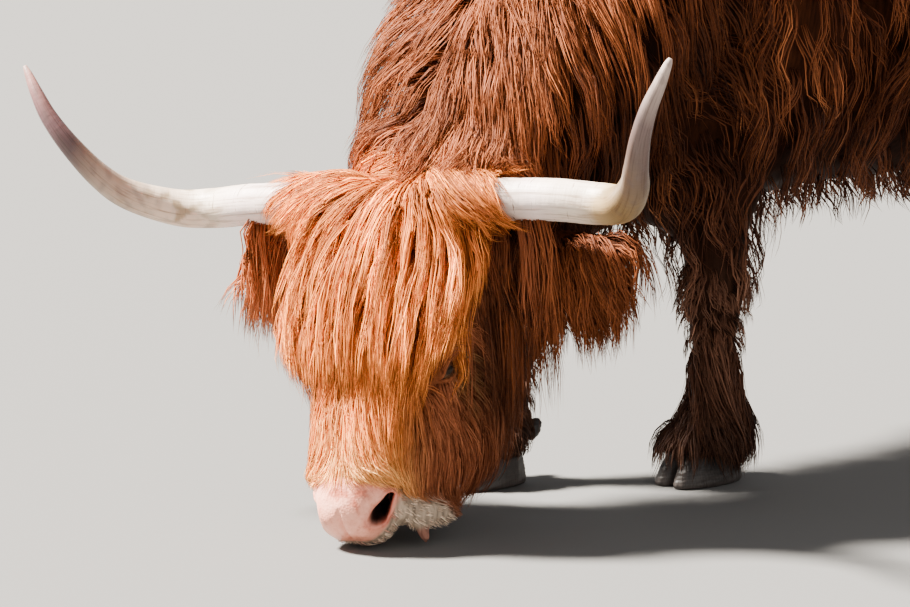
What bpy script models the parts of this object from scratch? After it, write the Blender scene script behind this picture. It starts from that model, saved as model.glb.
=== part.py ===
"""Highland cow, grazing with its head down: the solids of a life-size still model, out to the
tips of its long coat.

The animal faces -Y and its left side is +X.  Its body is lofted, melted into one closed form,
and then parted with thin cuts where a person would name its parts.  Lengths are in metres.
"""

import math

import bmesh
import bpy
from mathutils import Euler, Matrix, Vector

# Driving sizes
CUT = 0.0003            # half of the gap that a thin cut leaves between two parts
WIDE_GAP = 0.0010       # gap between a piece and the curved neighbour that it was cut by
GRAIN = 0.0075          # grain of the melted body
BODY_TRIANGLES = 2500   # about as many in all the parts cut from the body
LOWER_CLEAR = 0.016     # how far outside a leg's own form the cuts of its lower part run
UPPER_CLEAR = 0.034     # and those of its upper part, which lies against the trunk
RING = 24               # points round a loft's section

# Stance: the middle of each foot on the floor, as (x, y)
FEET = {
    "fore_left": (0.105, 0.000),
    "fore_right": (-0.090, -0.222),
    "hind_left": (0.150, 1.065),
    "hind_right": (-0.150, 0.870),
}
ELBOW_Y = 0.050         # where a foreleg leaves the chest, and how high
ELBOW_Z = 0.600
HIP_Y = 0.985           # where a hind leg leaves the rump, and how high
HIP_Z = 0.800
HOOF_TOP = 0.044        # where the coat of a foot begins
PASTERN_Z = 0.150       # a foot stands flat up to here, whatever its leg's slant

# The head's own frame: its middle is between the horns, +X is the cow's left, -Y leaves the
# forehead and +Z goes up to the poll.  It is turned a little to its left, tilted and rolled.
HEAD_PLACE = Vector((0.000, -0.483, 0.429))
HEAD_TURN = Euler((math.radians(-26.9), math.radians(-6.1), math.radians(13.5)), "XYZ")

# The left eye, in the head's frame
EYE_PLACE = Vector((0.0985, 0.014, -0.228))
EYE_RADIUS = 0.0190

# The horns' lines in the head's frame: x, y, z and radius, from inside the skull to the tip.
# They are a pair, but no two horns grow quite alike.
LEFT_HORN = [
    (0.080, -0.002, 0.000, 0.0300),
    (0.130, 0.000, -0.001, 0.0287),
    (0.179, 0.004, -0.001, 0.0278),
    (0.235, 0.010, -0.001, 0.0275),
    (0.295, 0.021, -0.004, 0.0272),
    (0.340, 0.004, -0.010, 0.0262),
    (0.385, -0.048, -0.008, 0.0240),
    (0.410, -0.090, 0.002, 0.0212),
    (0.436, -0.133, 0.025, 0.0178),
    (0.458, -0.160, 0.053, 0.0146),
    (0.476, -0.173, 0.081, 0.0110),
    (0.488, -0.180, 0.104, 0.0066),
    (0.492, -0.182, 0.112, 0.0028),
]
RIGHT_HORN = [
    (-0.080, -0.006, -0.002, 0.0300),
    (-0.130, -0.005, -0.001, 0.0287),
    (-0.181, -0.003, 0.000, 0.0278),
    (-0.245, 0.007, 0.003, 0.0275),
    (-0.305, 0.016, 0.005, 0.0272),
    (-0.350, -0.004, 0.004, 0.0262),
    (-0.393, -0.056, 0.007, 0.0240),
    (-0.415, -0.099, 0.018, 0.0212),
    (-0.439, -0.143, 0.044, 0.0178),
    (-0.462, -0.169, 0.073, 0.0146),
    (-0.478, -0.183, 0.099, 0.0110),
    (-0.493, -0.190, 0.124, 0.0066),
    (-0.500, -0.193, 0.136, 0.0028),
]

COAT = ("coat", (0.43, 0.155, 0.052, 1), 0.75)
HEAD_COAT = ("head_coat", (0.50, 0.19, 0.065, 1), 0.7)
FORELOCK_COAT = ("forelock_coat", (0.60, 0.25, 0.085, 1), 0.7)
LEG_COAT = ("leg_coat", (0.25, 0.09, 0.045, 1), 0.8)
NOSE_SKIN = ("nose_skin", (0.74, 0.47, 0.40, 1), 0.45)
HORN_SHEATH = ("horn_sheath", (0.74, 0.66, 0.57, 1), 0.4)
HOOF_HORN = ("hoof_horn", (0.20, 0.16, 0.14, 1), 0.5)
EYE_DARK = ("eye_dark", (0.03, 0.015, 0.01, 1), 0.1)
UDDER_SKIN = ("udder_skin", (0.66, 0.42, 0.36, 1), 0.6)

UNTURNED = Matrix.Identity(4)
UP = Vector((0, 0, 1))
FACE = Vector((0, 0, -1))
ALONG = Vector((0, -1, 0))


# ---------------------------------------------------------------- scene and objects

def clear_scene():
    for obj in list(bpy.data.objects):
        bpy.data.objects.remove(obj)


def collection(name):
    made = bpy.data.collections.new(name)
    bpy.context.scene.collection.children.link(made)
    return made


def material(look):
    name, colour, roughness = look
    found = bpy.data.materials.get(name)
    if found:
        return found
    made = bpy.data.materials.new(name)
    made.use_nodes = True
    shader = made.node_tree.nodes["Principled BSDF"]
    shader.inputs["Base Color"].default_value = colour
    shader.inputs["Roughness"].default_value = roughness
    return made


def add_object(name, mesh, where, look=None):
    obj = bpy.data.objects.new(name, mesh)
    where.objects.link(obj)
    if look:
        mesh.materials.clear()
        mesh.materials.append(material(look))
    return obj


def helper(obj):
    """A guide or a cutter, which isn't part of the animal."""
    obj.hide_render = True
    obj.display_type = "WIRE"
    return obj


def baked(obj):
    """The object's mesh as its modifiers leave it."""
    bpy.context.view_layer.update()
    graph = bpy.context.evaluated_depsgraph_get()
    return bpy.data.meshes.new_from_object(obj.evaluated_get(graph))


def mesh_of(name, fill):
    """A mesh made by fill, a function that adds closed shells to a bmesh."""
    bm = bmesh.new()
    fill(bm)
    bmesh.ops.recalc_face_normals(bm, faces=bm.faces)
    mesh = bpy.data.meshes.new(name)
    bm.to_mesh(mesh)
    bm.free()
    return mesh


# ---------------------------------------------------------------- lofts

def ring_points(centre, across, rise, half, high, low, power, count=RING):
    """A superellipse: half as wide as half along across, high along rise and low against it."""
    points = []
    for step in range(count):
        angle = math.tau * step / count
        side, lift = math.cos(angle), math.sin(angle)
        side = math.copysign(abs(side) ** (2 / power), side)
        lift = math.copysign(abs(lift) ** (2 / power), lift)
        reach = high if lift > 0 else low
        points.append(centre + across * (side * half) + rise * (lift * reach))
    return points


def between(rows, steps):
    """The rows of numbers, with more of them set on smooth curves through the given ones."""
    made = []
    last = len(rows) - 1
    for i in range(last):
        before, here = rows[max(i - 1, 0)], rows[i]
        there, after = rows[i + 1], rows[min(i + 2, last)]
        for step in range(steps):
            t = step / steps
            row = []
            for a, b, c, d in zip(before, here, there, after):
                bend = (2 * a - 5 * b + 4 * c - d) * t * t + (3 * b - a - 3 * c + d) * t * t * t
                row.append(0.5 * (2 * b + (c - a) * t + bend))
            made.append(row)
    made.append(list(rows[last]))
    return made


def skin_rings(bm, rings):
    """Closes a row of rings of points into one shell."""
    rings = [[bm.verts.new(point) for point in ring] for ring in rings]
    count = len(rings[0])
    for one, two in zip(rings, rings[1:]):
        for k in range(count):
            bm.faces.new((one[k], one[(k + 1) % count], two[(k + 1) % count], two[k]))
    bm.faces.new(list(reversed(rings[0])))
    bm.faces.new(rings[-1])


def loft_into(bm, rows, frame=Matrix.Identity(4), steps=4, power=2.2, facing=None, count=RING):
    """Adds a closed loft to bm.  A row is x, y, z, half width, high and low.  Its sections stand
    across the path, or square to facing, and high goes the way of facing x (1, 0, 0)."""
    rows = between(rows, steps)
    centres = [Vector(row[:3]) for row in rows]
    rings = []
    for i, row in enumerate(rows):
        ahead = centres[min(i + 1, len(rows) - 1)] - centres[max(i - 1, 0)]
        normal = facing or ahead.normalized()
        across = Vector((1, 0, 0))
        across = (across - normal * across.dot(normal)).normalized()
        rise = normal.cross(across)
        points = ring_points(centres[i], across, rise, row[3], row[4], row[5], power, count)
        rings.append([frame @ point for point in points])
    skin_rings(bm, rings)


def ball_into(bm, centre, sizes, frame=Matrix.Identity(4), around=24, high=14):
    """Adds an ellipsoid with those half sizes to bm."""
    place = frame @ Matrix.Translation(centre) @ Matrix.Diagonal((*sizes, 1))
    bmesh.ops.create_uvsphere(bm, u_segments=around, v_segments=high, radius=1, matrix=place)


# ---------------------------------------------------------------- the animal's form

def head_frame():
    return Matrix.Translation(HEAD_PLACE) @ HEAD_TURN.to_matrix().to_4x4()


def trunk_form(bm):
    """Chest, barrel and rump: y, height of the back, height of the belly's fringe, half width."""
    stations = [
        (-0.285, 0.690, 0.470, 0.075),
        (-0.255, 0.800, 0.395, 0.135),
        (-0.180, 0.930, 0.335, 0.196),
        (-0.070, 1.070, 0.304, 0.240),
        (0.060, 1.150, 0.308, 0.268),
        (0.250, 1.140, 0.324, 0.290),
        (0.450, 1.120, 0.320, 0.308),
        (0.650, 1.120, 0.330, 0.308),
        (0.850, 1.142, 0.375, 0.292),
        (1.000, 1.140, 0.465, 0.270),
        (1.110, 1.105, 0.570, 0.232),
        (1.180, 1.040, 0.670, 0.170),
        (1.215, 0.950, 0.755, 0.095),
    ]
    waist = 0.54  # how far up a section its widest place is
    rows = []
    for y, back, fringe, half in stations:
        middle = fringe + (back - fringe) * waist
        rows.append((0, y, middle, half, back - middle, middle - fringe))
    loft_into(bm, rows, facing=ALONG, power=2.2)


def neck_form(bm):
    """From the shoulders down to the poll, thick with the coat of its crest and throat."""
    rows = [
        (0.000, 0.080, 0.820, 0.250, 0.285, 0.320),
        (0.000, -0.040, 0.735, 0.254, 0.235, 0.290),
        (0.000, -0.140, 0.660, 0.248, 0.190, 0.255),
        (0.000, -0.230, 0.585, 0.232, 0.165, 0.220),
        (0.002, -0.305, 0.515, 0.212, 0.138, 0.190),
        (0.006, -0.370, 0.450, 0.182, 0.106, 0.165),
        (0.010, -0.420, 0.390, 0.140, 0.070, 0.125),
    ]
    loft_into(bm, rows, power=2.15)


def head_form(bm):
    """Skull, cheeks and jaw with their short coat, in the head's frame: z, half width, how far
    the face stands out and how far back the jaw and throat reach."""
    stations = [
        (0.034, 0.055, 0.016, 0.070),
        (0.020, 0.096, 0.040, 0.100),
        (-0.006, 0.118, 0.056, 0.135),
        (-0.060, 0.122, 0.062, 0.195),
        (-0.120, 0.125, 0.060, 0.250),
        (-0.180, 0.125, 0.056, 0.282),
        (-0.235, 0.119, 0.052, 0.292),
        (-0.280, 0.108, 0.048, 0.286),
        (-0.305, 0.102, 0.045, 0.270),
        (-0.335, 0.093, 0.041, 0.234),
        (-0.363, 0.085, 0.035, 0.186),
        (-0.386, 0.074, 0.030, 0.148),
    ]
    rows = []
    for z, half, face, back in stations:
        middle = (back - face) / 2
        deep = (back + face) / 2
        rows.append((0, middle, z, half, deep, deep))
    loft_into(bm, rows, frame=head_frame(), facing=FACE, power=2.45)


def muzzle_form(bm):
    """The broad end of the nose with its lips, and the chin behind them, in the head's frame."""
    upper = [
        (0, 0.022, -0.345, 0.076, 0.054, 0.060),
        (0, 0.022, -0.375, 0.074, 0.054, 0.060),
        (0, 0.022, -0.396, 0.058, 0.052, 0.060),
        (0, 0.022, -0.418, 0.051, 0.050, 0.058),
        (0, 0.022, -0.436, 0.048, 0.043, 0.050),
        (0, 0.023, -0.449, 0.039, 0.030, 0.036),
        (0, 0.024, -0.456, 0.026, 0.015, 0.022),
    ]
    chin = [
        (0, 0.120, -0.310, 0.064, 0.055, 0.080),
        (0, 0.110, -0.350, 0.060, 0.045, 0.070),
        (0, 0.098, -0.382, 0.053, 0.038, 0.048),
        (0, 0.088, -0.404, 0.042, 0.030, 0.030),
        (0, 0.082, -0.415, 0.026, 0.018, 0.016),
    ]
    for rows in (upper, chin):
        loft_into(bm, rows, frame=head_frame(), facing=FACE, power=2.5)


def forelock_form(bm):
    """The fringe that hangs from the poll over the face, in the head's frame."""
    rows = [
        (0, 0.020, 0.036, 0.055, 0.046, 0.030),
        (0, 0.000, 0.020, 0.116, 0.068, 0.060),
        (0, -0.010, -0.015, 0.150, 0.088, 0.075),
        (0, -0.015, -0.070, 0.160, 0.094, 0.070),
        (0, -0.020, -0.130, 0.155, 0.084, 0.060),
        (0, -0.026, -0.185, 0.136, 0.064, 0.050),
        (0, -0.030, -0.235, 0.104, 0.044, 0.040),
        (0, -0.030, -0.280, 0.060, 0.026, 0.030),
    ]
    loft_into(bm, rows, frame=head_frame(), steps=3, facing=FACE, power=2.2)


def ear_fill(side):
    """An ear held out below the horn, with the long hair that hangs from it."""
    rows = [
        (0.105, 0.064, -0.034, 0.034, 0.024, 0.045),
        (0.150, 0.074, -0.044, 0.041, 0.030, 0.085),
        (0.200, 0.086, -0.052, 0.044, 0.032, 0.105),
        (0.250, 0.098, -0.060, 0.041, 0.034, 0.095),
        (0.290, 0.107, -0.066, 0.034, 0.034, 0.070),
        (0.318, 0.112, -0.072, 0.020, 0.022, 0.040),
    ]
    if side < 0:  # the right ear is held a little higher
        rows = [(x, y + 0.004, z + 0.026, a, b, c * 0.8) for x, y, z, a, b, c in rows]
    rings = []
    for x, y, z, half, high, low in between(rows, 1):
        points = ring_points(Vector((side * x, y, z)), Vector((0, side, 0)), UP, half, high, low, 2.1, 18)
        rings.append([head_frame() @ point for point in points])
    return lambda bm: skin_rings(bm, rings)


def leg_fill(foot, stations, top_y, top_z, detail):
    """A leg over its foot.  A station is its height, how far it lies behind the line from the
    foot to the leg's top, how far out, its half width and its reach behind and in front."""
    x, y = FEET[foot]
    out = math.copysign(1, x)
    rows = []
    for height, behind, shift, half, rear, front in stations:
        slant = min(max((height - PASTERN_Z * 0.5) / (top_z - PASTERN_Z * 0.5), 0), 1)
        centre = y + (top_y - y) * slant + behind
        rows.append((x + out * shift, centre, height, half, rear, front))
    return lambda bm: loft_into(bm, rows, facing=UP, power=2.1, **detail)


FORELEG = [
    (0.860, 0.020, 0.040, 0.050, 0.060, 0.060),
    (0.800, 0.022, 0.062, 0.092, 0.120, 0.120),
    (0.700, 0.025, 0.062, 0.112, 0.140, 0.140),
    (0.590, 0.022, 0.048, 0.112, 0.130, 0.130),
    (0.470, 0.012, 0.018, 0.087, 0.108, 0.100),
    (0.380, 0.002, 0.007, 0.080, 0.092, 0.086),
    (0.310, -0.002, 0.002, 0.074, 0.080, 0.074),
    (0.250, 0.000, 0.000, 0.062, 0.064, 0.061),
    (0.200, 0.004, 0.000, 0.049, 0.048, 0.048),
    (0.150, 0.008, 0.000, 0.039, 0.039, 0.037),
    (0.110, 0.012, 0.000, 0.043, 0.048, 0.043),
    (0.075, 0.006, 0.000, 0.052, 0.062, 0.058),
    (0.055, -0.002, 0.000, 0.056, 0.064, 0.066),
    (HOOF_TOP, -0.004, 0.000, 0.057, 0.062, 0.067),
]

HINDLEG = [
    (0.980, -0.020, 0.020, 0.060, 0.080, 0.090),
    (0.900, -0.020, 0.032, 0.098, 0.140, 0.160),
    (0.790, -0.028, 0.040, 0.126, 0.175, 0.190),
    (0.680, -0.040, 0.030, 0.120, 0.165, 0.175),
    (0.580, -0.020, 0.014, 0.102, 0.140, 0.140),
    (0.490, 0.025, 0.004, 0.080, 0.104, 0.100),
    (0.420, 0.062, 0.000, 0.064, 0.076, 0.074),
    (0.350, 0.062, 0.000, 0.053, 0.060, 0.055),
    (0.270, 0.048, 0.000, 0.045, 0.048, 0.045),
    (0.190, 0.033, 0.000, 0.041, 0.043, 0.041),
    (0.120, 0.018, 0.000, 0.044, 0.050, 0.045),
    (0.078, 0.007, 0.000, 0.052, 0.062, 0.058),
    (0.055, -0.002, 0.000, 0.056, 0.064, 0.066),
    (HOOF_TOP, -0.004, 0.000, 0.057, 0.062, 0.067),
]


def leg_form(foot, **detail):
    if foot.startswith("fore"):
        return leg_fill(foot, FORELEG, ELBOW_Y, ELBOW_Z, detail)
    return leg_fill(foot, HINDLEG, HIP_Y, HIP_Z, detail)


def tail_form(bm):
    """The dock over the rump and the long switch below it."""
    rows = [
        (0.000, 1.080, 1.080, 0.044, 0.034, 0.034),
        (0.000, 1.160, 1.072, 0.042, 0.032, 0.032),
        (0.000, 1.222, 1.028, 0.038, 0.030, 0.030),
        (0.000, 1.254, 0.950, 0.034, 0.028, 0.028),
        (0.000, 1.264, 0.850, 0.033, 0.028, 0.028),
        (0.000, 1.266, 0.740, 0.038, 0.032, 0.032),
        (0.000, 1.266, 0.620, 0.052, 0.038, 0.038),
        (0.000, 1.266, 0.500, 0.060, 0.042, 0.042),
        (0.000, 1.266, 0.380, 0.052, 0.038, 0.038),
        (0.000, 1.265, 0.280, 0.034, 0.027, 0.027),
        (0.000, 1.264, 0.210, 0.012, 0.010, 0.010),
    ]
    loft_into(bm, rows, power=2.0)


def udder_form(bm, **detail):
    """A small udder between the thighs, just clear of the belly's coat."""
    rows = [
        (0, 0.790, 0.480, 0.085, 0.100, 0.100),
        (0, 0.790, 0.420, 0.104, 0.120, 0.125),
        (0, 0.785, 0.370, 0.104, 0.115, 0.120),
        (0, 0.778, 0.330, 0.084, 0.090, 0.095),
        (0, 0.775, 0.308, 0.050, 0.055, 0.055),
    ]
    loft_into(bm, rows, facing=UP, power=2.3, **detail)


def teats_form(bm):
    for x in (-0.042, 0.042):
        for y in (0.735, 0.815):
            ball_into(bm, Vector((x, y, 0.308)), (0.014, 0.014, 0.036))


# ---------------------------------------------------------------- melting and cutting

def melted(name, fills, grain, rounds=5):
    """One closed body from overlapping shells: their outer surface, softened where they meet."""
    shells = mesh_of(name, lambda bm: [fill(bm) for fill in fills])
    obj = add_object(name, shells, bpy.context.scene.collection)
    melt = obj.modifiers.new("melt", "REMESH")
    melt.mode = "VOXEL"
    melt.voxel_size = grain
    soften = obj.modifiers.new("soften", "SMOOTH")
    soften.factor = 0.5
    soften.iterations = rounds
    made = baked(obj)
    bpy.data.objects.remove(obj)
    return made


def thinned(mesh, triangles, weight=None):
    """The mesh with about that many triangles, and more of them where weight, a function of a
    point, is low."""
    obj = add_object("thin", mesh, bpy.context.scene.collection)
    thin = obj.modifiers.new("thin", "DECIMATE")
    thin.ratio = triangles / sum(len(face.vertices) - 2 for face in mesh.polygons)
    thin.use_collapse_triangulate = True
    if weight:
        group = obj.vertex_groups.new(name="thin")
        for vertex in mesh.vertices:
            group.add([vertex.index], weight(vertex.co), "REPLACE")
        thin.vertex_group = group.name
        thin.vertex_group_factor = 1.0
    made = baked(obj)
    bpy.data.objects.remove(obj)
    return made


def boolean(mesh, cutter, operation="DIFFERENCE"):
    """The mesh after a Boolean with a cutter object."""
    obj = add_object("work", mesh, bpy.context.scene.collection)
    step = obj.modifiers.new("cut", "BOOLEAN")
    step.operation = operation
    step.object = cutter
    made = baked(obj)
    bpy.data.objects.remove(obj)
    return largest_body(made)


def largest_body(mesh):
    """The mesh without any crumb that a cut leaves beside its main body."""
    bm = bmesh.new()
    bm.from_mesh(mesh)
    left = set(bm.verts)
    bodies = []
    while left:
        seed = left.pop()
        body, front = [seed], [seed]
        while front:
            for edge in front.pop().link_edges:
                for vertex in edge.verts:
                    if vertex in left:
                        left.discard(vertex)
                        body.append(vertex)
                        front.append(vertex)
        bodies.append(body)
    main = max(bodies, key=len)
    crumbs = [vertex for body in bodies if body is not main for vertex in body]
    bmesh.ops.delete(bm, geom=crumbs, context="VERTS")
    bmesh.ops.triangulate(bm, faces=bm.faces)
    bm.to_mesh(mesh)
    bm.free()
    return mesh


def box_cutter(name, low, high, where, frame, grow=0.0):
    """A box between two corners of a frame, grown on every side."""
    low, high = Vector(low), Vector(high)
    size = high - low + Vector((2 * grow,) * 3)
    place = frame @ Matrix.Translation((low + high) / 2) @ Matrix.Diagonal((*size, 1))
    mesh = mesh_of(name, lambda bm: bmesh.ops.create_cube(bm, size=1, matrix=place))
    return helper(add_object(name, mesh, where))


def grown_cutter(name, mesh, where, gap=2 * CUT):
    """A copy of a piece, a gap bigger all round, to cut its neighbour with."""
    obj = helper(add_object(name, mesh.copy(), where))
    swell = obj.modifiers.new("gap", "DISPLACE")
    swell.strength = gap
    swell.mid_level = 0
    return obj


def cut_out(body, name, low, high, where, frame=Matrix.Identity(4)):
    """Cuts what is inside a box from the body, and returns (the part, the rest)."""
    inner = box_cutter(name + "_part", low, high, where, frame, grow=-CUT)
    outer = box_cutter(name + "_gap", low, high, where, frame, grow=CUT)
    return boolean(body.copy(), inner, "INTERSECT"), boolean(body, outer)


def cut_form(body, name, fill, clear, low, high, where):
    """Cuts what is inside a form, swollen by clear, between two heights from the body, and
    returns (the part, the rest)."""
    cutters = []
    for word, grow in (("part", -2 * CUT), ("gap", 2 * CUT)):
        swollen = grown_cutter(f"{name}_{word}_form", mesh_of(name, fill), where, clear + grow)
        box = box_cutter(f"{name}_{word}_box", (-1, -2, low), (1, 2, high), where, UNTURNED, grow)
        cutter = boolean(baked(swollen), box, "INTERSECT")
        cutters.append(helper(add_object(f"{name}_{word}", cutter, where)))
    return boolean(body.copy(), cutters[0], "INTERSECT"), boolean(body, cutters[1])


def tilted(place, degrees):
    """A frame at a place, turned about X."""
    return Matrix.Translation(place) @ Matrix.Rotation(math.radians(degrees), 4, "X")


# ---------------------------------------------------------------- pieces with their own shape

def horn_mesh(side):
    """A horn that leaves the poll sideways and sweeps forward and up to its tip."""
    rows = LEFT_HORN if side > 0 else RIGHT_HORN
    count = 12
    rings = []
    for i, row in enumerate(rows):
        ahead = Vector(rows[min(i + 1, len(rows) - 1)][:3]) - Vector(rows[max(i - 1, 0)][:3])
        across = UP.cross(ahead).normalized()
        rise = ahead.normalized().cross(across)
        ring = []
        for k in range(count):
            angle = math.tau * k / count
            spoke = across * math.cos(angle) + rise * math.sin(angle)
            ring.append(head_frame() @ (Vector(row[:3]) + spoke * row[3]))
        rings.append(ring)
    return mesh_of("horn", lambda bm: skin_rings(bm, rings))


def claw_mesh(foot, side):
    """One of a foot's two claws: a flat sole on the floor, a sloping toe and a rounded heel."""
    x, y = FEET[foot]
    outline = [
        (0.0015, -0.054), (0.005, -0.071), (0.014, -0.079), (0.027, -0.074),
        (0.039, -0.053), (0.046, -0.022), (0.045, 0.012), (0.037, 0.036),
        (0.021, 0.046), (0.007, 0.040), (0.0015, 0.022),
    ]
    # height, size of the section, and how far its toe lies behind the sole's
    levels = [(0.000, 0.95, 0.000), (0.004, 1.00, 0.001), (0.024, 0.95, 0.008), (0.0434, 0.86, 0.016)]
    rings = []
    for height, scale, toe in levels:
        ring = []
        for across, along in outline:
            across = 0.0015 + (across - 0.0015) * scale
            along = along * scale + toe * (0.046 - along) / 0.125
            ring.append(Vector((x + side * across, y + along, height)))
        rings.append(ring)
    return mesh_of("claw", lambda bm: skin_rings(bm, rings))


def dewclaw_mesh(foot, side):
    """A small blunt horn at the back of the pastern."""
    x, y = FEET[foot]
    place = Matrix.Translation((x + side * 0.024, y + 0.062, 0.070))
    place = place @ Matrix.Rotation(math.radians(-35), 4, "X")
    return mesh_of(
        "dewclaw", lambda bm: ball_into(bm, Vector((0, 0, 0)), (0.011, 0.012, 0.019), place, 7, 4)
    )


def eye_place(side):
    return Vector((side * EYE_PLACE.x, EYE_PLACE.y, EYE_PLACE.z))


def eye_mesh(side):
    sizes = (EYE_RADIUS,) * 3
    return mesh_of("eye", lambda bm: ball_into(bm, eye_place(side), sizes, head_frame(), 12, 7))


def eye_hollow(side, where):
    """The hollow between the lids, open to the side."""
    centre = eye_place(side) + Vector((side * 0.024, -0.004, 0.0))
    sizes = (0.034, 0.024, 0.017)
    mesh = mesh_of("hollow", lambda bm: ball_into(bm, centre, sizes, head_frame(), 10, 6))
    return helper(add_object(f"eye_hollow_{side}", mesh, where))


def nostril(side, where):
    """A nostril's hollow, a comma that opens forward and to the side."""
    frame = head_frame() @ Matrix.Translation((side * 0.045, 0.006, -0.424))
    frame = frame @ Matrix.Rotation(math.radians(side * 58), 4, "Z")
    mesh = mesh_of(
        "nostril", lambda bm: ball_into(bm, Vector((0, 0, 0)), (0.015, 0.014, 0.012), frame, 10, 6)
    )
    return helper(add_object(f"nostril_{side}", mesh, where))


# ---------------------------------------------------------------- assembly

def freedom(point):
    """How freely the body may be thinned at a point: least at the muzzle."""
    local = head_frame().inverted() @ point
    if local.z < -0.34 and local.y < 0.16 and abs(local.x) < 0.12:
        return 0.970
    if local.z < 0.05 and local.y < 0.15 and point.y < -0.35 and abs(local.x) < 0.20:
        return 0.990
    if point.z < 0.30:
        return 0.985
    return 1.0


def body_parts(cutters):
    """The body's flesh and coat, parted: {name: (mesh, look)}."""
    fills = [trunk_form, neck_form, head_form, muzzle_form, tail_form, udder_form, teats_form]
    fills += [leg_form(foot) for foot in FEET]
    whole = melted("whole", fills, GRAIN)
    body = thinned(whole, BODY_TRIANGLES, freedom)
    parts = {}

    for foot in FEET:
        knee, top = (0.300, 0.590) if foot.startswith("fore") else (0.400, 0.720)
        form = leg_form(foot, steps=1, count=8)
        name = foot + "_lower"
        parts[name], body = cut_form(body, name, form, LOWER_CLEAR, -0.1, knee, cutters)
        name = foot + "_upper"
        parts[name], body = cut_form(body, name, form, UPPER_CLEAR, knee, top, cutters)
    bag = lambda bm: udder_form(bm, steps=1, count=8)
    parts["udder"], body = cut_form(body, "udder", bag, LOWER_CLEAR, 0.1, 0.400, cutters)

    rump = tilted((0, 1.226, 1.010), 0)
    parts["tail"], body = cut_out(body, "tail", (-0.2, 0.0, -0.9), (0.2, 0.2, 0.05), cutters, rump)
    parts["switch"], parts["tail"] = cut_out(
        parts["tail"], "switch", (-0.2, 1.1, 0.0), (0.2, 1.5, 0.745), cutters
    )

    poll = tilted((0, -0.412, 0.500), 48)
    parts["head"], body = cut_out(
        body, "head", (-0.30, -0.70, -0.50), (0.34, 0.000, 0.20), cutters, poll
    )
    withers = tilted((0, -0.100, 0.770), -19)
    parts["neck"], body = cut_out(
        body, "neck", (-0.40, -0.70, -0.80), (0.40, 0.000, 0.80), cutters, withers
    )
    parts["trunk"] = body

    head = head_frame()
    mouth = head @ tilted((0, 0.064, -0.458), -15)
    parts["lower_jaw"], parts["head"] = cut_out(
        parts["head"], "lower_jaw", (-0.2, 0.0, -0.20), (0.2, 0.40, 0.120), cutters, mouth
    )
    parts["muzzle"], parts["head"] = cut_out(
        parts["head"], "muzzle", (-0.2, -0.20, -0.60), (0.2, 0.2, -0.394), cutters, head
    )
    return parts


def look_of(name):
    if name in ("muzzle",):
        return NOSE_SKIN
    if name == "udder":
        return UDDER_SKIN
    if name.endswith("_lower"):
        return LEG_COAT
    if name in ("head", "lower_jaw"):
        return HEAD_COAT
    return COAT


def centre_on_floor(objects):
    """Moves the animal sideways and lengthwise so that its box stands over the origin."""
    corners = [vertex.co for obj in objects for vertex in obj.data.vertices]
    x = (min(point.x for point in corners) + max(point.x for point in corners)) / 2
    y = (min(point.y for point in corners) + max(point.y for point in corners)) / 2
    for obj in objects:
        obj.data.transform(Matrix.Translation((-x, -y, 0)))


def build():
    clear_scene()
    cutters = collection("cutters")
    cow = collection("highland_cow")
    parts = body_parts(cutters)
    neighbours = [
        grown_cutter(name + "_gap", parts[name], cutters, WIDE_GAP) for name in ("head", "neck")
    ]

    horns = {side: horn_mesh(side) for side in (1, -1)}
    eyes = {side: eye_mesh(side) for side in (1, -1)}
    names = {1: "left", -1: "right"}
    for side in (1, -1):
        horn = grown_cutter("horn_gap_" + names[side], horns[side], cutters)
        eye = grown_cutter("eye_gap_" + names[side], eyes[side], cutters)
        parts["head"] = boolean(parts["head"], horn)
        parts["head"] = boolean(parts["head"], eye_hollow(side, cutters))
        parts["head"] = boolean(parts["head"], eye)
        parts["muzzle"] = boolean(parts["muzzle"], nostril(side, cutters))

    forelock = melted("forelock", [forelock_form], 0.009, 3)
    forelock = thinned(forelock, 300)
    for side in (1, -1):
        horn = grown_cutter("horn_hold_" + names[side], horns[side], cutters)
        forelock = boolean(forelock, horn)
        forelock = boolean(forelock, eye_hollow(side, cutters))
        forelock = boolean(forelock, grown_cutter("eye_free_" + names[side], eyes[side], cutters))
    for cutter in neighbours:
        forelock = boolean(forelock, cutter)
    parts["forelock"] = forelock

    around = grown_cutter("forelock_gap", forelock, cutters, WIDE_GAP)
    for side in (1, -1):
        ear = mesh_of("ear", ear_fill(side))
        for cutter in (*neighbours, around):
            ear = boolean(ear, cutter)
        ear = boolean(ear, grown_cutter("horn_past_" + names[side], horns[side], cutters))
        parts["ear_" + names[side]] = ear

    objects = []
    for name, mesh in parts.items():
        look = FORELOCK_COAT if name == "forelock" else look_of(name)
        objects.append(add_object(name, mesh, cow, look))
    for side in (1, -1):
        objects.append(add_object("horn_" + names[side], horns[side], cow, HORN_SHEATH))
        objects.append(add_object("eye_" + names[side], eyes[side], cow, EYE_DARK))
    for foot in FEET:
        for side, word in ((1, "left"), (-1, "right")):
            objects.append(add_object(f"claw_{foot}_{word}", claw_mesh(foot, side), cow, HOOF_HORN))
            name = f"dewclaw_{foot}_{word}"
            dew = dewclaw_mesh(foot, side)
            cutter = grown_cutter(name + "_gap", dew, cutters)
            lower = next(obj for obj in objects if obj.name == foot + "_lower")
            look = lower.data.materials[0]
            lower.data = boolean(lower.data, cutter)
            lower.data.materials.clear()
            lower.data.materials.append(look)
            objects.append(add_object(name, dew, cow, HOOF_HORN))
    centre_on_floor(objects)


build()
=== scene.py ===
import math

import bmesh
import bpy
import numpy as np
from mathutils import Euler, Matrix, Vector
from mathutils.bvhtree import BVHTree


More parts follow.
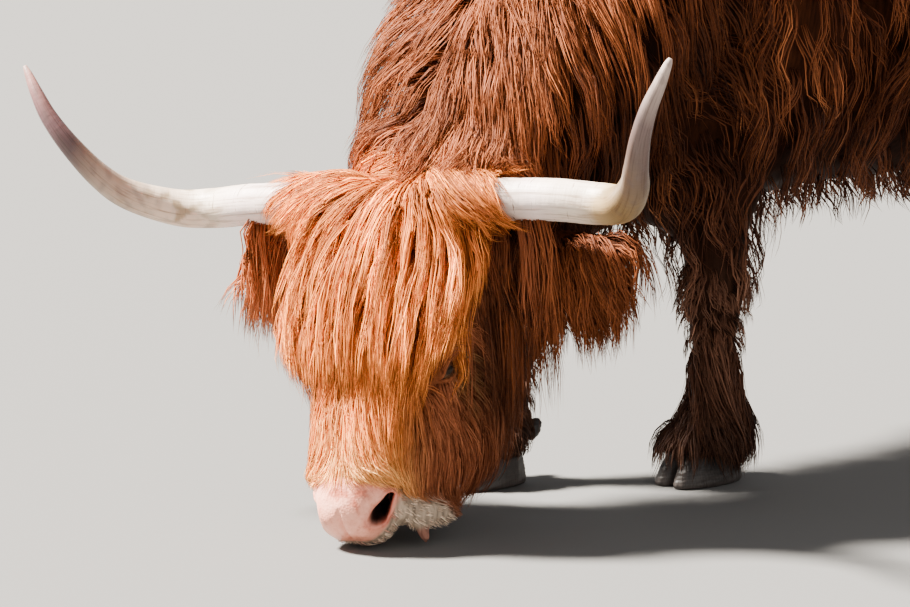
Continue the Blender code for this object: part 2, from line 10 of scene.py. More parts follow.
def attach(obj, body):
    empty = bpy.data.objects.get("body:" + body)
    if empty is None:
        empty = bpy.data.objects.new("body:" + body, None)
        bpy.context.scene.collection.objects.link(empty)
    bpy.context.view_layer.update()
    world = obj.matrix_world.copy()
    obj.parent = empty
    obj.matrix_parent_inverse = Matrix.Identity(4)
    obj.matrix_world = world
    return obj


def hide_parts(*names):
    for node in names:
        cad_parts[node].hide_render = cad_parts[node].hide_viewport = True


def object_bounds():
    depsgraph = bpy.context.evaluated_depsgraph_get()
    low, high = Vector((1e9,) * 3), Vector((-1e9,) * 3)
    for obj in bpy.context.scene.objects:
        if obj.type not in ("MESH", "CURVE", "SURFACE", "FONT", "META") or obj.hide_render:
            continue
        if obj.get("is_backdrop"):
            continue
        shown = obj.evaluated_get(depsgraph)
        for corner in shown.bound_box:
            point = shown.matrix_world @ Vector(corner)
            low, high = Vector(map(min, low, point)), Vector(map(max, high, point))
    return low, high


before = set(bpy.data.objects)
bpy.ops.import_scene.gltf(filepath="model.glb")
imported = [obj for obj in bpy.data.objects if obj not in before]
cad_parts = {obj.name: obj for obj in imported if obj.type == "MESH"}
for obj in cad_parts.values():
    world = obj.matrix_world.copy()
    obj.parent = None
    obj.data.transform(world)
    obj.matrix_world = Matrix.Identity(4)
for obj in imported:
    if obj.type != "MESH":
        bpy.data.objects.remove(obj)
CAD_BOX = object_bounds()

# The head's own axes: X to the cow's left, Y towards the throat, Z towards the poll.
HEAD_PLACE = np.array((-0.0026, -0.7740, 0.4290))
HEAD_TURN = Euler((math.radians(-26.9), math.radians(-6.1), math.radians(13.5)), "XYZ")
HEAD_AXES = np.array(HEAD_TURN.to_matrix())
DOWN = np.array((0.0, 0.0, -1.0))
TAILWARD = np.array((0.0, 1.0, 0.0))
LEFTWARD = np.array((1.0, 0.0, 0.0))

# The skin's grain is the size of the blocks that it is first made from.
GRAIN = 0.0058
SKIN_FACES = 185000

# Places on the left half of the head, in its own axes.
EYE_PLACE = np.array((0.0985, 0.014, -0.228))
EYE_RADIUS = 0.0190
LID_LONG = 0.0190
LID_SHORT = 0.0098
LID_SLANT = (0.40, 0.917)
WHORL = np.array((0.028, 0.0, 0.045))
CHEEK_WHORL = -0.262
NOSTRIL_LOW = np.array((0.0490, 0.0005, -0.4400))
NOSTRIL_HIGH = np.array((0.0565, 0.0060, -0.4060))
NOSTRIL_IN = np.array((-0.350, 0.620, 0.700)) / math.sqrt(0.350**2 + 0.620**2 + 0.700**2)
LIP_FLAP = np.array(((0.062, 0.080, -0.412), (0.068, 0.090, -0.4335)))

# Where each foot stands on the floor.
FEET = {
    "fore_left": (0.1024, -0.2910),
    "fore_right": (-0.0926, -0.5130),
    "hind_left": (0.1474, 0.7740),
    "hind_right": (-0.1526, 0.5790),
}

# Coat depth by node, from the tips of the coat down to the skin.
COAT_DEPTH = {
    "trunk": 0.050,
    "neck": 0.052,
    "head": 0.020,
    "muzzle": 0.0004,
    "lower_jaw": 0.0010,
    "udder": 0.008,
    "tail": 0.020,
    "switch": 0.034,
    "fore_left_upper": 0.042,
    "fore_right_upper": 0.042,
    "hind_left_upper": 0.042,
    "hind_right_upper": 0.042,
    "fore_left_lower": 0.026,
    "fore_right_lower": 0.026,
    "hind_left_lower": 0.022,
    "hind_right_lower": 0.022,
}
FLESH = list(COAT_DEPTH)
HEAD_PARTS = ("head", "muzzle", "lower_jaw")
EARS = ("ear_left", "ear_right")
UPPERS = [foot + "_upper" for foot in FEET]
LOWERS = [foot + "_lower" for foot in FEET]


# ---------------------------------------------------------------- small tools


def unit(v):
    """Each vector at a length of 1."""
    return v / np.maximum(np.linalg.norm(v, axis=-1, keepdims=True), 1e-9)


def ease(low, high, x):
    """0 below low, 1 above high, and smooth between them."""
    t = np.clip((x - low) / (high - low), 0.0, 1.0)
    return t * t * (3.0 - 2.0 * t)


def bell(x, middle, reach):
    """1 at the middle, and falling off smoothly to both sides of it."""
    return np.exp(-(((x - middle) / reach) ** 2))


def to_head(points):
    """World places in the head's own axes."""
    return (points - HEAD_PLACE) @ HEAD_AXES


def from_head(points):
    """Places in the head's own axes as world places."""
    return np.asarray(points) @ HEAD_AXES.T + HEAD_PLACE


def head_way(vectors):
    """Directions in the head's own axes as world directions."""
    return np.asarray(vectors) @ HEAD_AXES.T


def mixed(one, other, share):
    """One row of numbers blended towards the other by its own share."""
    share = np.asarray(share)[..., None]
    return one * (1 - share) + other * share


def part(owner, names, *wanted):
    """Which points or faces belong to the wanted nodes."""
    return np.isin(owner, [names.index(name) for name in wanted])


def on_nape(head):
    """Behind the poll, where the neck's hair begins."""
    x, y, z = head.T
    return (z > 0.0) & (y > 0.030) & (np.abs(x) < 0.12)


def left_half(head):
    """Places on the head with its right half laid over the left."""
    x, y, z = head.T
    return np.stack((np.abs(x), y, z), 1)


def flat_part(vectors, normals):
    """What is left of a direction along the surface."""
    return vectors - normals * np.sum(vectors * normals, axis=-1, keepdims=True)


def points_of(mesh):
    """The mesh's vertices as rows."""
    co = np.empty(len(mesh.vertices) * 3, np.float32)
    mesh.vertices.foreach_get("co", co)
    return co.reshape(-1, 3).astype(float)


def triangles_of(mesh):
    """The mesh's faces as triangles of vertex numbers."""
    mesh.calc_loop_triangles()
    tri = np.empty(len(mesh.loop_triangles) * 3, np.int32)
    mesh.loop_triangles.foreach_get("vertices", tri)
    return tri.reshape(-1, 3)


def edges_of(mesh):
    """The vertex numbers at both ends of each edge."""
    ends = np.empty(len(mesh.edges) * 2, np.int32)
    mesh.edges.foreach_get("vertices", ends)
    return ends.reshape(-1, 2)


def vertex_normals(points, tri):
    """The outward way at each point, from the faces round it."""
    a, b, c = (points[tri[:, corner]] for corner in range(3))
    cross = np.cross(b - a, c - a)
    total = np.zeros_like(points)
    for corner in range(3):
        for axis in range(3):
            total[:, axis] += np.bincount(tri[:, corner], cross[:, axis], len(points))
    return unit(total)


def relaxed(values, ends, rounds, pull=0.5):
    """Each value drawn towards the mean of its neighbours, a few times over."""
    flat = values if values.ndim == 2 else values[:, None]
    count = len(flat)
    neighbours = np.maximum(np.bincount(ends.ravel(), minlength=count), 1)[:, None]
    pull = np.broadcast_to(np.asarray(pull, float).reshape(-1, 1), (count, 1))
    for _ in range(rounds):
        mean = np.empty_like(flat)
        for axis in range(flat.shape[1]):
            one = np.bincount(ends[:, 0], flat[ends[:, 1], axis], count)
            two = np.bincount(ends[:, 1], flat[ends[:, 0], axis], count)
            mean[:, axis] = one + two
        flat = flat + pull * (mean / neighbours - flat)
    return flat if values.ndim == 2 else flat[:, 0]


def mesh_from(name, points, faces):
    """A mesh of points and faces."""
    mesh = bpy.data.meshes.new(name)
    mesh.from_pydata([tuple(p) for p in points], [], [tuple(f) for f in faces])
    mesh.update()
    return mesh


def dress(mesh, material):
    """Gives a mesh its one material, and shades it smoothly."""
    mesh.materials.clear()
    mesh.materials.append(material)
    mesh.polygons.foreach_set("use_smooth", np.ones(len(mesh.polygons), bool))


def paint(mesh, name, colours):
    """Gives each vertex a colour, under a name that the materials read."""
    rows = np.ones((len(mesh.vertices), 4), np.float32)
    rows[:, :3] = colours
    layer = mesh.color_attributes.new(name, "FLOAT_COLOR", "POINT")
    layer.data.foreach_set("color", rows.ravel())


def linked(name, data):
    """A new object in the scene: a mesh, a lamp or a camera."""
    obj = bpy.data.objects.new(name, data)
    bpy.context.scene.collection.objects.link(obj)
    return obj


def piece(name, mesh, material):
    """A named object of the part, dressed in its material."""
    dress(mesh, material)
    return linked(name, mesh)


def settled(obj):
    """The object's mesh with its modifiers taken up, and the modifiers gone."""
    graph = bpy.context.evaluated_depsgraph_get()
    mesh = bpy.data.meshes.new_from_object(obj.evaluated_get(graph))
    old = obj.data
    obj.modifiers.clear()
    obj.data = mesh
    bpy.data.meshes.remove(old)
    return obj


def between(stations, steps):
    """Catmull-Rom rows through the stations."""
    rows = np.asarray(stations, float)
    padded = np.vstack((2 * rows[0] - rows[1], rows, 2 * rows[-1] - rows[-2]))
    made = []
    for i in range(len(rows) - 1):
        a, b, c, d = padded[i : i + 4]
        for k in range(steps):
            t = k / steps
            bend = (2 * a - 5 * b + 4 * c - d) * t * t
            made.append(0.5 * (2 * b + (c - a) * t + bend + (3 * b - a - 3 * c + d) * t**3))
    made.append(rows[-1])
    return np.array(made)


def tube(path, radii, sides, bump=None):
    """A closed tube along a path: points, faces, and each point's share round and length along."""
    way = unit(np.gradient(path, axis=0))
    across = unit(np.cross(way[0], (0.31, 0.52, 0.8)))
    points, where = [], []
    run = 0.0
    for i, middle in enumerate(path):
        across = unit(across - way[i] * np.dot(across, way[i]))
        other = np.cross(way[i], across)
        if i:
            run += np.linalg.norm(path[i] - path[i - 1])
        for k in range(sides):
            angle = 2 * math.pi * k / sides
            reach = radii[i] * (1.0 if bump is None else 1.0 + bump(angle, run, i / (len(path) - 1)))
            points.append(middle + reach * (across * math.cos(angle) + other * math.sin(angle)))
            where.append((k / sides, run))
    faces = []
    for i in range(len(path) - 1):
        for k in range(sides):
            a, b = i * sides + k, i * sides + (k + 1) % sides
            faces.append((a, b, b + sides, a + sides))
    first, last = len(points), len(points) + 1
    points += [path[0], path[-1]]
    where += [(0.5, 0.0), (0.5, run)]
    end = (len(path) - 1) * sides
    for k in range(sides):
        faces.append((first, (k + 1) % sides, k))
        faces.append((last, end + k, end + (k + 1) % sides))
    return np.array(points), faces, where


# ---------------------------------------------------------------- the skin


def node_shell(names, grow):
    """The nodes' shells in one mesh, each grown a little so that the thin cuts between them close."""
    bm = bmesh.new()
    for name in names:
        bm.from_mesh(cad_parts[name].data)
    bmesh.ops.remove_doubles(bm, verts=bm.verts, dist=0.00002)
    bm.normal_update()
    for v in bm.verts:
        v.co += v.normal * grow
    return bm


def add_capsule(bm, a, b, r1, r2, sides=16):
    """A closed round-ended rod from a to b."""
    way = unit(b - a)
    rows, radii = [], []
    for k in range(5):
        turn = math.pi / 2 * (1 - k / 4)
        rows.append(a - way * r1 * math.sin(turn))
        radii.append(max(r1 * math.cos(turn), 0.0008))
    for k in range(5):
        turn = math.pi / 2 * k / 4
        rows.append(b + way * r2 * math.sin(turn))
        radii.append(max(r2 * math.cos(turn), 0.0008))
    points, faces, _ = tube(np.array(rows), radii, sides)
    made = [bm.verts.new(p) for p in points]
    for f in faces:
        bm.faces.new([made[i] for i in f])


def ear_leaf(bm, side):
    """The ear itself, a long cupped leaf that hangs inside the ear's hair."""
    stations = [
        (0.100, 0.066, -0.030, 0.022, 0.018),
        (0.135, 0.072, -0.032, 0.032, 0.016),
        (0.175, 0.084, -0.033, 0.040, 0.012),
        (0.215, 0.092, -0.031, 0.038, 0.010),
        (0.254, 0.099, -0.027, 0.030, 0.009),
        (0.284, 0.104, -0.022, 0.017, 0.007),
        (0.300, 0.106, -0.020, 0.004, 0.004),
    ]
    rows = between(stations, 3)
    sides = 14
    lift = 0.036 if side < 0 else 0.0
    rings = []
    for x, y, z, half, thick in rows:
        ring = []
        for k in range(sides):
            angle = 2 * math.pi * k / sides
            up = math.cos(angle) * half
            out = math.sin(angle) * thick
            cup = 0.35 * up * up / max(half, 0.004)
            ring.append((side * x, y + out + cup - 0.5 * lift, z + up - 0.014 + lift))
        rings.append([bm.verts.new(p) for p in from_head(ring)])
    for low, high in zip(rings, rings[1:]):
        for k in range(sides):
            quad = (low[k], low[(k + 1) % sides], high[(k + 1) % sides], high[k])
            bm.faces.new(quad if side > 0 else quad[::-1])
    bm.faces.new(rings[0][::-1] if side > 0 else rings[0])
    bm.faces.new(rings[-1] if side > 0 else rings[-1][::-1])


def remeshed(bm, name, grain):
    """One closed skin round all the shells of a rough mesh."""
    mesh = bpy.data.meshes.new(name)
    bm.to_mesh(mesh)
    bm.free()
    obj = linked(name, mesh)
    remesh = obj.modifiers.new("grain", "REMESH")
    remesh.mode = "VOXEL"
    remesh.voxel_size = grain
    return settled(obj)


def tree_of(points, tri):
    """A search tree of a surface."""
    return BVHTree.FromPolygons([tuple(p) for p in points], [tuple(t) for t in tri.tolist()])


def nearest(tree, points):
    """Nearest place on a surface, and the index of its face."""
    found = [tree.find_nearest(p) for p in points.tolist()]
    place = np.array([f[0] for f in found])
    index = np.array([f[2] for f in found], np.int64)
    return place, index


def inward_room(tree, points, normals):
    """How thick the body is under each point, along its normal."""
    room = np.full(len(points), 0.6)
    starts = points - normals * 0.0015
    for i, (p, n) in enumerate(zip(starts.tolist(), (-normals).tolist())):
        hit = tree.ray_cast(p, n, 0.6)
        if hit[0] is not None:
            room[i] = hit[3]
    return room


def outer_form(names):
    """The outer form of some nodes as triangles, with the node that each one comes from."""
    points, tri, owner = [], [], []
    base = 0
    for number, name in enumerate(names):
        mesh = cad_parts[name].data
        p, t = points_of(mesh), triangles_of(mesh)
        points.append(p)
        tri.append(t + base)
        owner.append(np.full(len(t), number))
        base += len(p)
    points, tri, owner = np.vstack(points), np.vstack(tri), np.concatenate(owner)
    a, b, c = (points[tri[:, corner]] for corner in range(3))
    normals = unit(np.cross(b - a, c - a))
    return {"names": names, "owner": owner, "normals": normals, "tree": tree_of(points, tri)}


def wanted_depth(points, normals, owner, names):
    """How deep the skin lies under the coat's outer form."""
    head = to_head(points)
    depth = np.zeros(len(points))
    for number, name in enumerate(names):
        depth[owner == number] = COAT_DEPTH.get(name, 0.02)
    is_head = part(owner, names, "head")
    bridge = ease(-0.10, -0.18, head[:, 2]) * ease(0.02, -0.03, head[:, 1])
    brow = ease(-0.16, -0.06, head[:, 2])
    cheek = 0.019 - 0.009 * bridge + 0.006 * ease(0.08, 0.2, head[:, 1])
    depth[is_head] = (cheek * (1 - 0.2 * brow))[is_head]
    nosed = ease(-0.345, -0.385, head[:, 2]) * ease(0.09, 0.03, head[:, 1])
    depth[is_head] = (depth * (1 - nosed) + 0.0025 * nosed)[is_head]
    eye = np.hypot(head[:, 1] - EYE_PLACE[1], head[:, 2] - EYE_PLACE[2])
    lidded = ease(0.060, 0.030, eye) * ease(0.05, 0.08, np.abs(head[:, 0]))
    depth[is_head] = (depth * (1 - lidded) + 0.0070 * lidded)[is_head]
    is_jaw = part(owner, names, "lower_jaw")
    depth[is_jaw] = (0.0006 + 0.008 * ease(-0.40, -0.34, head[:, 2]))[is_jaw]
    is_trunk = part(owner, names, "trunk")
    back = ease(0.45, 0.9, normals[:, 2])
    belly = ease(-0.45, -0.9, normals[:, 2])
    depth[is_trunk] = (0.052 - 0.014 * back - 0.006 * belly)[is_trunk]
    lower = part(owner, names, *LOWERS)
    shank = ease(0.40, 0.12, points[:, 2])
    depth[lower] = (0.034 - 0.021 * shank)[lower]
    foot = ease(0.13, 0.05, points[:, 2])
    depth[lower] = (depth * (1 - foot) + 0.0025 * foot)[lower]
    return depth


def nostril(head, side):
    """How far from the nostril's middle line (1 is its edge), how far up it, how deep, and if outside."""
    here = np.stack((side * head[:, 0], head[:, 1], head[:, 2]), 1) - NOSTRIL_LOW
    way = NOSTRIL_HIGH - NOSTRIL_LOW
    slope = way @ NOSTRIL_IN
    deep = here @ NOSTRIL_IN
    here = here - deep[:, None] * NOSTRIL_IN
    way = way - slope * NOSTRIL_IN
    share = np.clip(here @ way / (way @ way), 0.0, 1.0)
    gap = here - share[:, None] * way
    wide = 0.0112 - 0.0060 * share
    return np.linalg.norm(gap, axis=1) / wide, share, deep - share * slope, gap[:, 0] > 0


def lid_ways(y, z):
    """How far a place is from the eye's middle, along the slit of the lids and across it."""
    dy, dz = y - EYE_PLACE[1], z - EYE_PLACE[2]
    return LID_SLANT[0] * dy + LID_SLANT[1] * dz, LID_SLANT[1] * dy - LID_SLANT[0] * dz


def socket(s, y, z):
    """How far outwards the skin moves to lie on the eye as lids, and inwards between them."""
    far = np.hypot(y - EYE_PLACE[1], z - EYE_PLACE[2])
    long_way, short_way = lid_ways(y, z)
    gape = np.maximum(1 - (long_way / LID_LONG) ** 2, 0.0) * np.where(short_way > 0, 0.0078, 0.0105)
    almond = np.abs(short_way) / np.maximum(gape, 0.0004)
    ring = np.sqrt((long_way / LID_LONG) ** 2 + (short_way / LID_SHORT) ** 2)
    ball = EYE_PLACE[0] + np.sqrt(np.maximum((EYE_RADIUS + 0.0024) ** 2 - far**2, 0.0))
    near = ease(0.036, 0.019, far) * (s > 0.05)
    lid = ball + 0.0010 * bell(ring, 1.25, 0.25) - 0.0012 * bell(ring, 1.75, 0.14)
    wanted = s * (1 - near) + np.where(far < 0.019, lid, s) * near
    inside = ease(1.0, 0.80, almond) * (far < 0.0185)
    wanted = wanted * (1 - inside) + (ball - 0.0075) * inside
    return (wanted - s) * (far < 0.037) * (s > 0.05)


def sculpt_head(points, normals):
    """The small forms of the face: orbit, cheek crest, nostrils, lips and mouth."""
    head = to_head(points)
    move = np.zeros_like(points)
    x, y, z = head.T
    dy, dz = y - EYE_PLACE[1], z - EYE_PLACE[2]
    for side in (1.0, -1.0):
        s = side * x
        move += head_way((side, 0.0, 0.0)) * socket(s, y, z)[:, None]
        brow = bell(np.hypot(dy * 0.8, dz - 0.030), 0.0, 0.020) * (s > 0.05)
        move += normals * (0.0045 * brow)[:, None]
        under = bell(np.hypot(dy, dz + 0.032), 0.0, 0.010) * (s > 0.05)
        move -= normals * (0.0020 * under)[:, None]
        outer_cheek = ease(0.04, 0.08, s)
        crest = bell(y, 0.055, 0.020) * ease(-0.36, -0.31, z) * ease(-0.23, -0.27, z) * outer_cheek
        move += normals * (0.006 * crest)[:, None]
        hollow = bell(y, 0.10, 0.03) * ease(-0.33, -0.28, z) * ease(-0.18, -0.24, z) * outer_cheek
        move -= normals * (0.005 * hollow)[:, None]
        # The nostril is a comma: narrow above and outside, wide below and inside.
        off, share, deep, _ = nostril(head, side)
        off = off + np.clip(np.abs(deep) - 0.022, 0, 1) * 100
        pit = ease(1.15, 0.50, off)
        inward = NOSTRIL_IN * (side, 1, 1)
        move += head_way(inward) * (0.034 * pit * (1 - 0.35 * share))[:, None]
        wing = bell(off, 1.55, 0.45) * ease(0.040, 0.055, s) * ease(-0.45, -0.43, z)
        move += normals * (0.0030 * wing)[:, None]
        fold = bell(off, 2.35, 0.35) * ease(0.045, 0.06, s) * ease(-0.46, -0.43, z)
        move -= normals * (0.0022 * fold)[:, None]
    groove = bell(x, 0.002, 0.0028) * ease(-0.425, -0.440, z) * ease(0.040, 0.0, y)
    move -= normals * (0.0035 * groove)[:, None]
    return points + move


def lay(obj, points):
    """Moves the object's vertices to the points."""
    obj.data.vertices.foreach_set("co", points.astype(np.float32).ravel())


def sunk_flesh(outer):
    """The flesh nodes as one skin, sunk below their outer form by the depth of the coat."""
    flesh = remeshed(node_shell(FLESH + ["eye_left", "eye_right"], 0.0009), "flesh", GRAIN)
    points, tri, ends = points_of(flesh.data), triangles_of(flesh.data), edges_of(flesh.data)
    fine = ease(-0.33, -0.38, to_head(points)[:, 2])
    points = relaxed(points, ends, 6, 0.5 - 0.40 * fine)
    normals = vertex_normals(points, tri)
    owner = outer["owner"][nearest(outer["tree"], points)[1]]
    depth = wanted_depth(points, normals, owner, outer["names"])
    room = inward_room(tree_of(points, tri), points, normals)
    depth = relaxed(np.minimum(depth, 0.30 * room), ends, 18)
    normals = unit(relaxed(normals, ends, 6))
    for _ in range(4):
        points = points - normals * (depth / 4)[:, None]
        normals = unit(relaxed(vertex_normals(points, tri), ends, 4))
    fine = ease(-0.30, -0.36, to_head(points)[:, 2])
    lay(flesh, relaxed(points, ends, 10, 0.5 - 0.44 * fine))
    return flesh


def add_head_parts(bm):
    """Brow, horn roots, ears, corners of the mouth and the flap of the lip."""
    for side in (1.0, -1.0):
        brow = [from_head((side * x, -0.004, 0.0)) for x in (0.070, 0.118)]
        add_capsule(bm, *brow, 0.036, 0.0305)
        root = [from_head((side * 0.108, -0.003, 0.0)), from_head((side * 0.215, 0.004, 0.0))]
        add_capsule(bm, *root, 0.0250, 0.0225)
        ear_leaf(bm, side)
        front = from_head((side * 0.046, 0.052, -0.404))
        middle = from_head((side * 0.059, 0.088, -0.399))
        add_capsule(bm, front, middle, 0.020, 0.019)
        add_capsule(bm, middle, from_head((side * 0.064, 0.128, -0.384)), 0.019, 0.018)
    add_capsule(bm, from_head(LIP_FLAP[0]), from_head(LIP_FLAP[1]), 0.0120, 0.0068)


def build_skin(outer):
    """The one skin: trunk, neck, head, legs, tail and ears without a seam."""
    flesh = sunk_flesh(outer)
    bm = bmesh.new()
    bm.from_mesh(flesh.data)
    add_head_parts(bm)
    bpy.data.objects.remove(flesh)
    whole = remeshed(bm, "whole", GRAIN)
    points = points_of(whole.data)
    fine = ease(-0.30, -0.36, to_head(points)[:, 2])
    lay(whole, relaxed(points, edges_of(whole.data), 4, 0.5 - 0.32 * fine))
    refine(whole)
    points, tri, ends = points_of(whole.data), triangles_of(whole.data), edges_of(whole.data)
    points = relaxed(points, ends, 2, 0.35)
    points = sculpt_head(points, vertex_normals(points, tri))
    lay(whole, relaxed(points, ends, 1, 0.25))
    return whole


def refine(obj):
    """Finer faces round the nose, mouth and eyes, where the small forms are."""
    for near in (0.0496, 0.0400):
        head = to_head(points_of(obj.data))
        nose = ease(-0.372, -0.385, head[:, 2]) > 0.5
        eyed = np.linalg.norm(left_half(head) - EYE_PLACE, axis=1) < near
        chosen = nose | eyed
        bm = bmesh.new()
        bm.from_mesh(obj.data)
        bm.edges.ensure_lookup_table()
        picked = [e for e in bm.edges if chosen[e.verts[0].index] and chosen[e.verts[1].index]]
        bmesh.ops.subdivide_edges(bm, edges=picked, cuts=1, use_grid_fill=True)
        bmesh.ops.triangulate(bm, faces=[f for f in bm.faces if len(f.verts) > 4])
        bm.to_mesh(obj.data)
        bm.free()


def thin_skin(obj):
    """Fewer faces on the big plain forms, under the coat."""
    group = obj.vertex_groups.new(name="plain")
    points = points_of(obj.data)
    head = to_head(points)
    keep = ease(0.02, -0.2, head[:, 2]) * (np.abs(head[:, 0]) < 0.3) * (np.abs(head[:, 1]) < 0.35)
    plain = np.clip(1.0 - keep, 0.0, 1.0)
    for level in (0.25, 0.5, 0.75, 1.0):
        chosen = np.nonzero((plain > level - 0.25) & (plain <= level))[0]
        group.add(chosen.tolist(), level, "REPLACE")
    faces = sum(len(p.vertices) - 2 for p in obj.data.polygons)
    thin = obj.modifiers.new("thin", "DECIMATE")
    thin.ratio = min(1.0, SKIN_FACES / faces)
    thin.vertex_group = "plain"
    settled(obj)
    obj.vertex_groups.clear()


# ---------------------------------------------------------------- what the skin knows at each point

RUST = np.array((0.330, 0.088, 0.026))
DEEP_RUST = np.array((0.122, 0.037, 0.015))
GOLD = np.array((0.700, 0.198, 0.032))
SAND = np.array((1.000, 0.470, 0.140))
LIP = np.array((1.000, 0.760, 0.560))
KHAKI = np.array((0.350, 0.200, 0.070))
UMBER = np.array((0.080, 0.034, 0.019))
CANNON = np.array((0.175, 0.075, 0.043))
PINK = np.array((0.930, 0.430, 0.310))
# Painted near black inside the nostrils, as the shade deep in their pits.
NOSTRIL_SHADE = np.array((0.010, 0.005, 0.004))


def bare_nose(head):
    """1 on the hairless pad of the nose."""
    x, y, z = head.T
    top = ease(-0.384, -0.391, z + 0.06 * np.abs(x))
    sides = ease(0.074, 0.066, np.abs(x) + 0.10 * (z + 0.42))
    front = ease(0.036, 0.026, y)
    return top * sides * front


def body_colour(points, normals):
    """Rust, with painted light where it faces up and painted shade where it faces down, most of all on
    the neck and shoulders.
    """
    facing = normals[:, 2]
    fore = ease(-0.20, -0.36, points[:, 1])
    # Surfaces facing up are painted lighter and those facing down darker, as light and shade.
    behind = mixed(RUST * 0.42, RUST * 0.88, ease(-0.25, 0.70, facing))
    before = mixed(RUST * 0.24, RUST * 1.55, ease(0.12, 0.86, facing))
    colour = behind * (1 - fore)[:, None] + before * fore[:, None]
    # The shoulders are painted lighter, as light on them, and the flanks darker, as shade.
    colour = colour * (0.80 + 0.60 * bell(points[:, 1], -0.28, 0.16))[:, None]
    # Low on the trunk behind the shoulders it darkens towards deep rust, as painted shade.
    return mixed(colour, DEEP_RUST, ease(0.75, 0.42, points[:, 2]) * 0.7 * (1 - fore))


def leg_colour(body, height):
    """The body's colour down to the knee, then brown shins that end in umber."""
    deep = np.tile(DEEP_RUST * 0.75, (len(height), 1))
    shin = mixed(deep, CANNON, bell(height, 0.26, 0.10))
    shin = mixed(shin, UMBER, ease(0.22, 0.08, height))
    return mixed(body, shin, ease(0.62, 0.40, height))


def face_colour(head):
    """Gold down the bridge of the nose, sand above the pad, darker cheeks and throat, and painted shade
    behind the forelock.
    """
    x, y, z = head.T
    ax = np.abs(x)
    cheek = np.tile(RUST * (1.12, 1.25, 1.7), (len(head), 1))
    face = mixed(cheek, GOLD, ease(0.10, 0.04, ax) * ease(0.03, -0.02, y))
    face = mixed(face, SAND, ease(-0.25, -0.35, z) * ease(0.085, 0.040, ax) * ease(0.05, 0.01, y))
    orbit = np.sqrt((ax - 0.112) ** 2 + (y - 0.050) ** 2 + (z + 0.215) ** 2)
    face = mixed(face, KHAKI, ease(0.040, 0.015, orbit) * 0.8)
    face = mixed(face, RUST, ease(0.012, 0.035, y) * ease(-0.06, -0.02, z))
    # The sides of the head behind the forelock are painted deep rust, as the shade of the forelock and
    # horns.
    face = mixed(face, DEEP_RUST, ease(0.020, 0.050, y) * ease(-0.27, -0.19, z) * ease(0.06, 0.09, ax))
    return mixed(face, DEEP_RUST * 1.3, ease(0.10, 0.20, y) * 0.6)


def nose_colour(face, head):
    """Pale lips, a pink pad redder and darker at its top, partly as painted shade, and nostrils painted
    dark as shade, over the face's own colour.
    """
    y, z = head[:, 1], head[:, 2]
    pad = bare_nose(head)
    lips = ease(-0.368, -0.380, z + 0.25 * np.abs(y - 0.07)) * ease(0.012, 0.028, y)
    lips = lips + ease(-0.415, -0.43, z)
    face = mixed(face, LIP, np.clip(lips, 0, 1))
    face = mixed(face, PINK, pad)
    # The top of the pad is redder and darker: partly its own redder skin, partly painted shade under the
    # fringe of hair.
    face = mixed(face, PINK * (0.80, 0.55, 0.50), pad * ease(-0.410, -0.388, z) * 0.9)
    off, _, deep, outer = nostril(left_half(head), 1.0)
    near = np.abs(deep - 0.014) < 0.060
    rim = ease(1.9, 1.25, off) * near * (0.35 + 0.45 * outer)
    face = mixed(face, PINK * (0.62, 0.28, 0.24), rim)
    # Inside each nostril the colour is painted near black, as the shade deep in its pit.
    face = mixed(face, NOSTRIL_SHADE, ease(1.08, 0.88, off) * near)
    flap = np.linalg.norm(head - LIP_FLAP[1], axis=1)
    return mixed(face, PINK, ease(0.020, 0.012, flap))


def markings(points, normals, owner, names):
    """The hide's colours with their painted light and shade, shared by the skin and the coat over it."""
    head = to_head(points)
    colour = body_colour(points, normals)
    legs = part(owner, names, *LOWERS, *UPPERS)
    colour[legs] = leg_colour(colour, points[:, 2])[legs]
    headed = part(owner, names, *HEAD_PARTS, "forelock")
    colour[headed] = nose_colour(face_colour(head), head)[headed]
    eared = part(owner, names, *EARS)
    # The left ear is painted darker, as shade, and the right ear lighter, as painted light.
    shaded_left_ear = np.tile(RUST * 0.72, (len(points), 1))
    colour[eared] = mixed(shaded_left_ear, RUST * 1.6, ease(0.0, -0.1, head[:, 0]))[eared]
    colour[part(owner, names, "udder")] = PINK * 0.45
    return colour


def face_lie(head):
    """Down the face, out from a whorl on each cheek, and backwards along the lips."""
    x, y, z = head.T
    count = len(head)
    lie = np.zeros((count, 3))
    lie[:, 0] = x * (1.0 + 55.0 * ease(-0.325, -0.385, z))
    lie[:, 2] = -1.0
    cheek = ease(0.055, 0.085, np.abs(x))
    lie = mixed(lie, np.array((0.0, 0.30, -1.0)), cheek)
    from_whorl = np.stack((np.zeros(count), y, z - CHEEK_WHORL), 1)
    around = bell(np.linalg.norm(from_whorl, axis=1), 0.05, 0.07) * cheek
    lie = mixed(lie, unit(from_whorl) + (0, 0.15, -0.45), np.clip(around * 1.2, 0, 0.85))
    lip = ease(-0.368, -0.382, z) * ease(0.015, 0.030, y)
    backwards = np.stack((0.25 * np.sign(x), np.ones(count), np.full(count, 0.03)), 1)
    lie = mixed(lie, backwards, lip)
    throat = ease(0.14, 0.22, y) * (1 - lip)
    return head_way(mixed(lie, np.array((0.0, 0.5, -1.0)), throat))


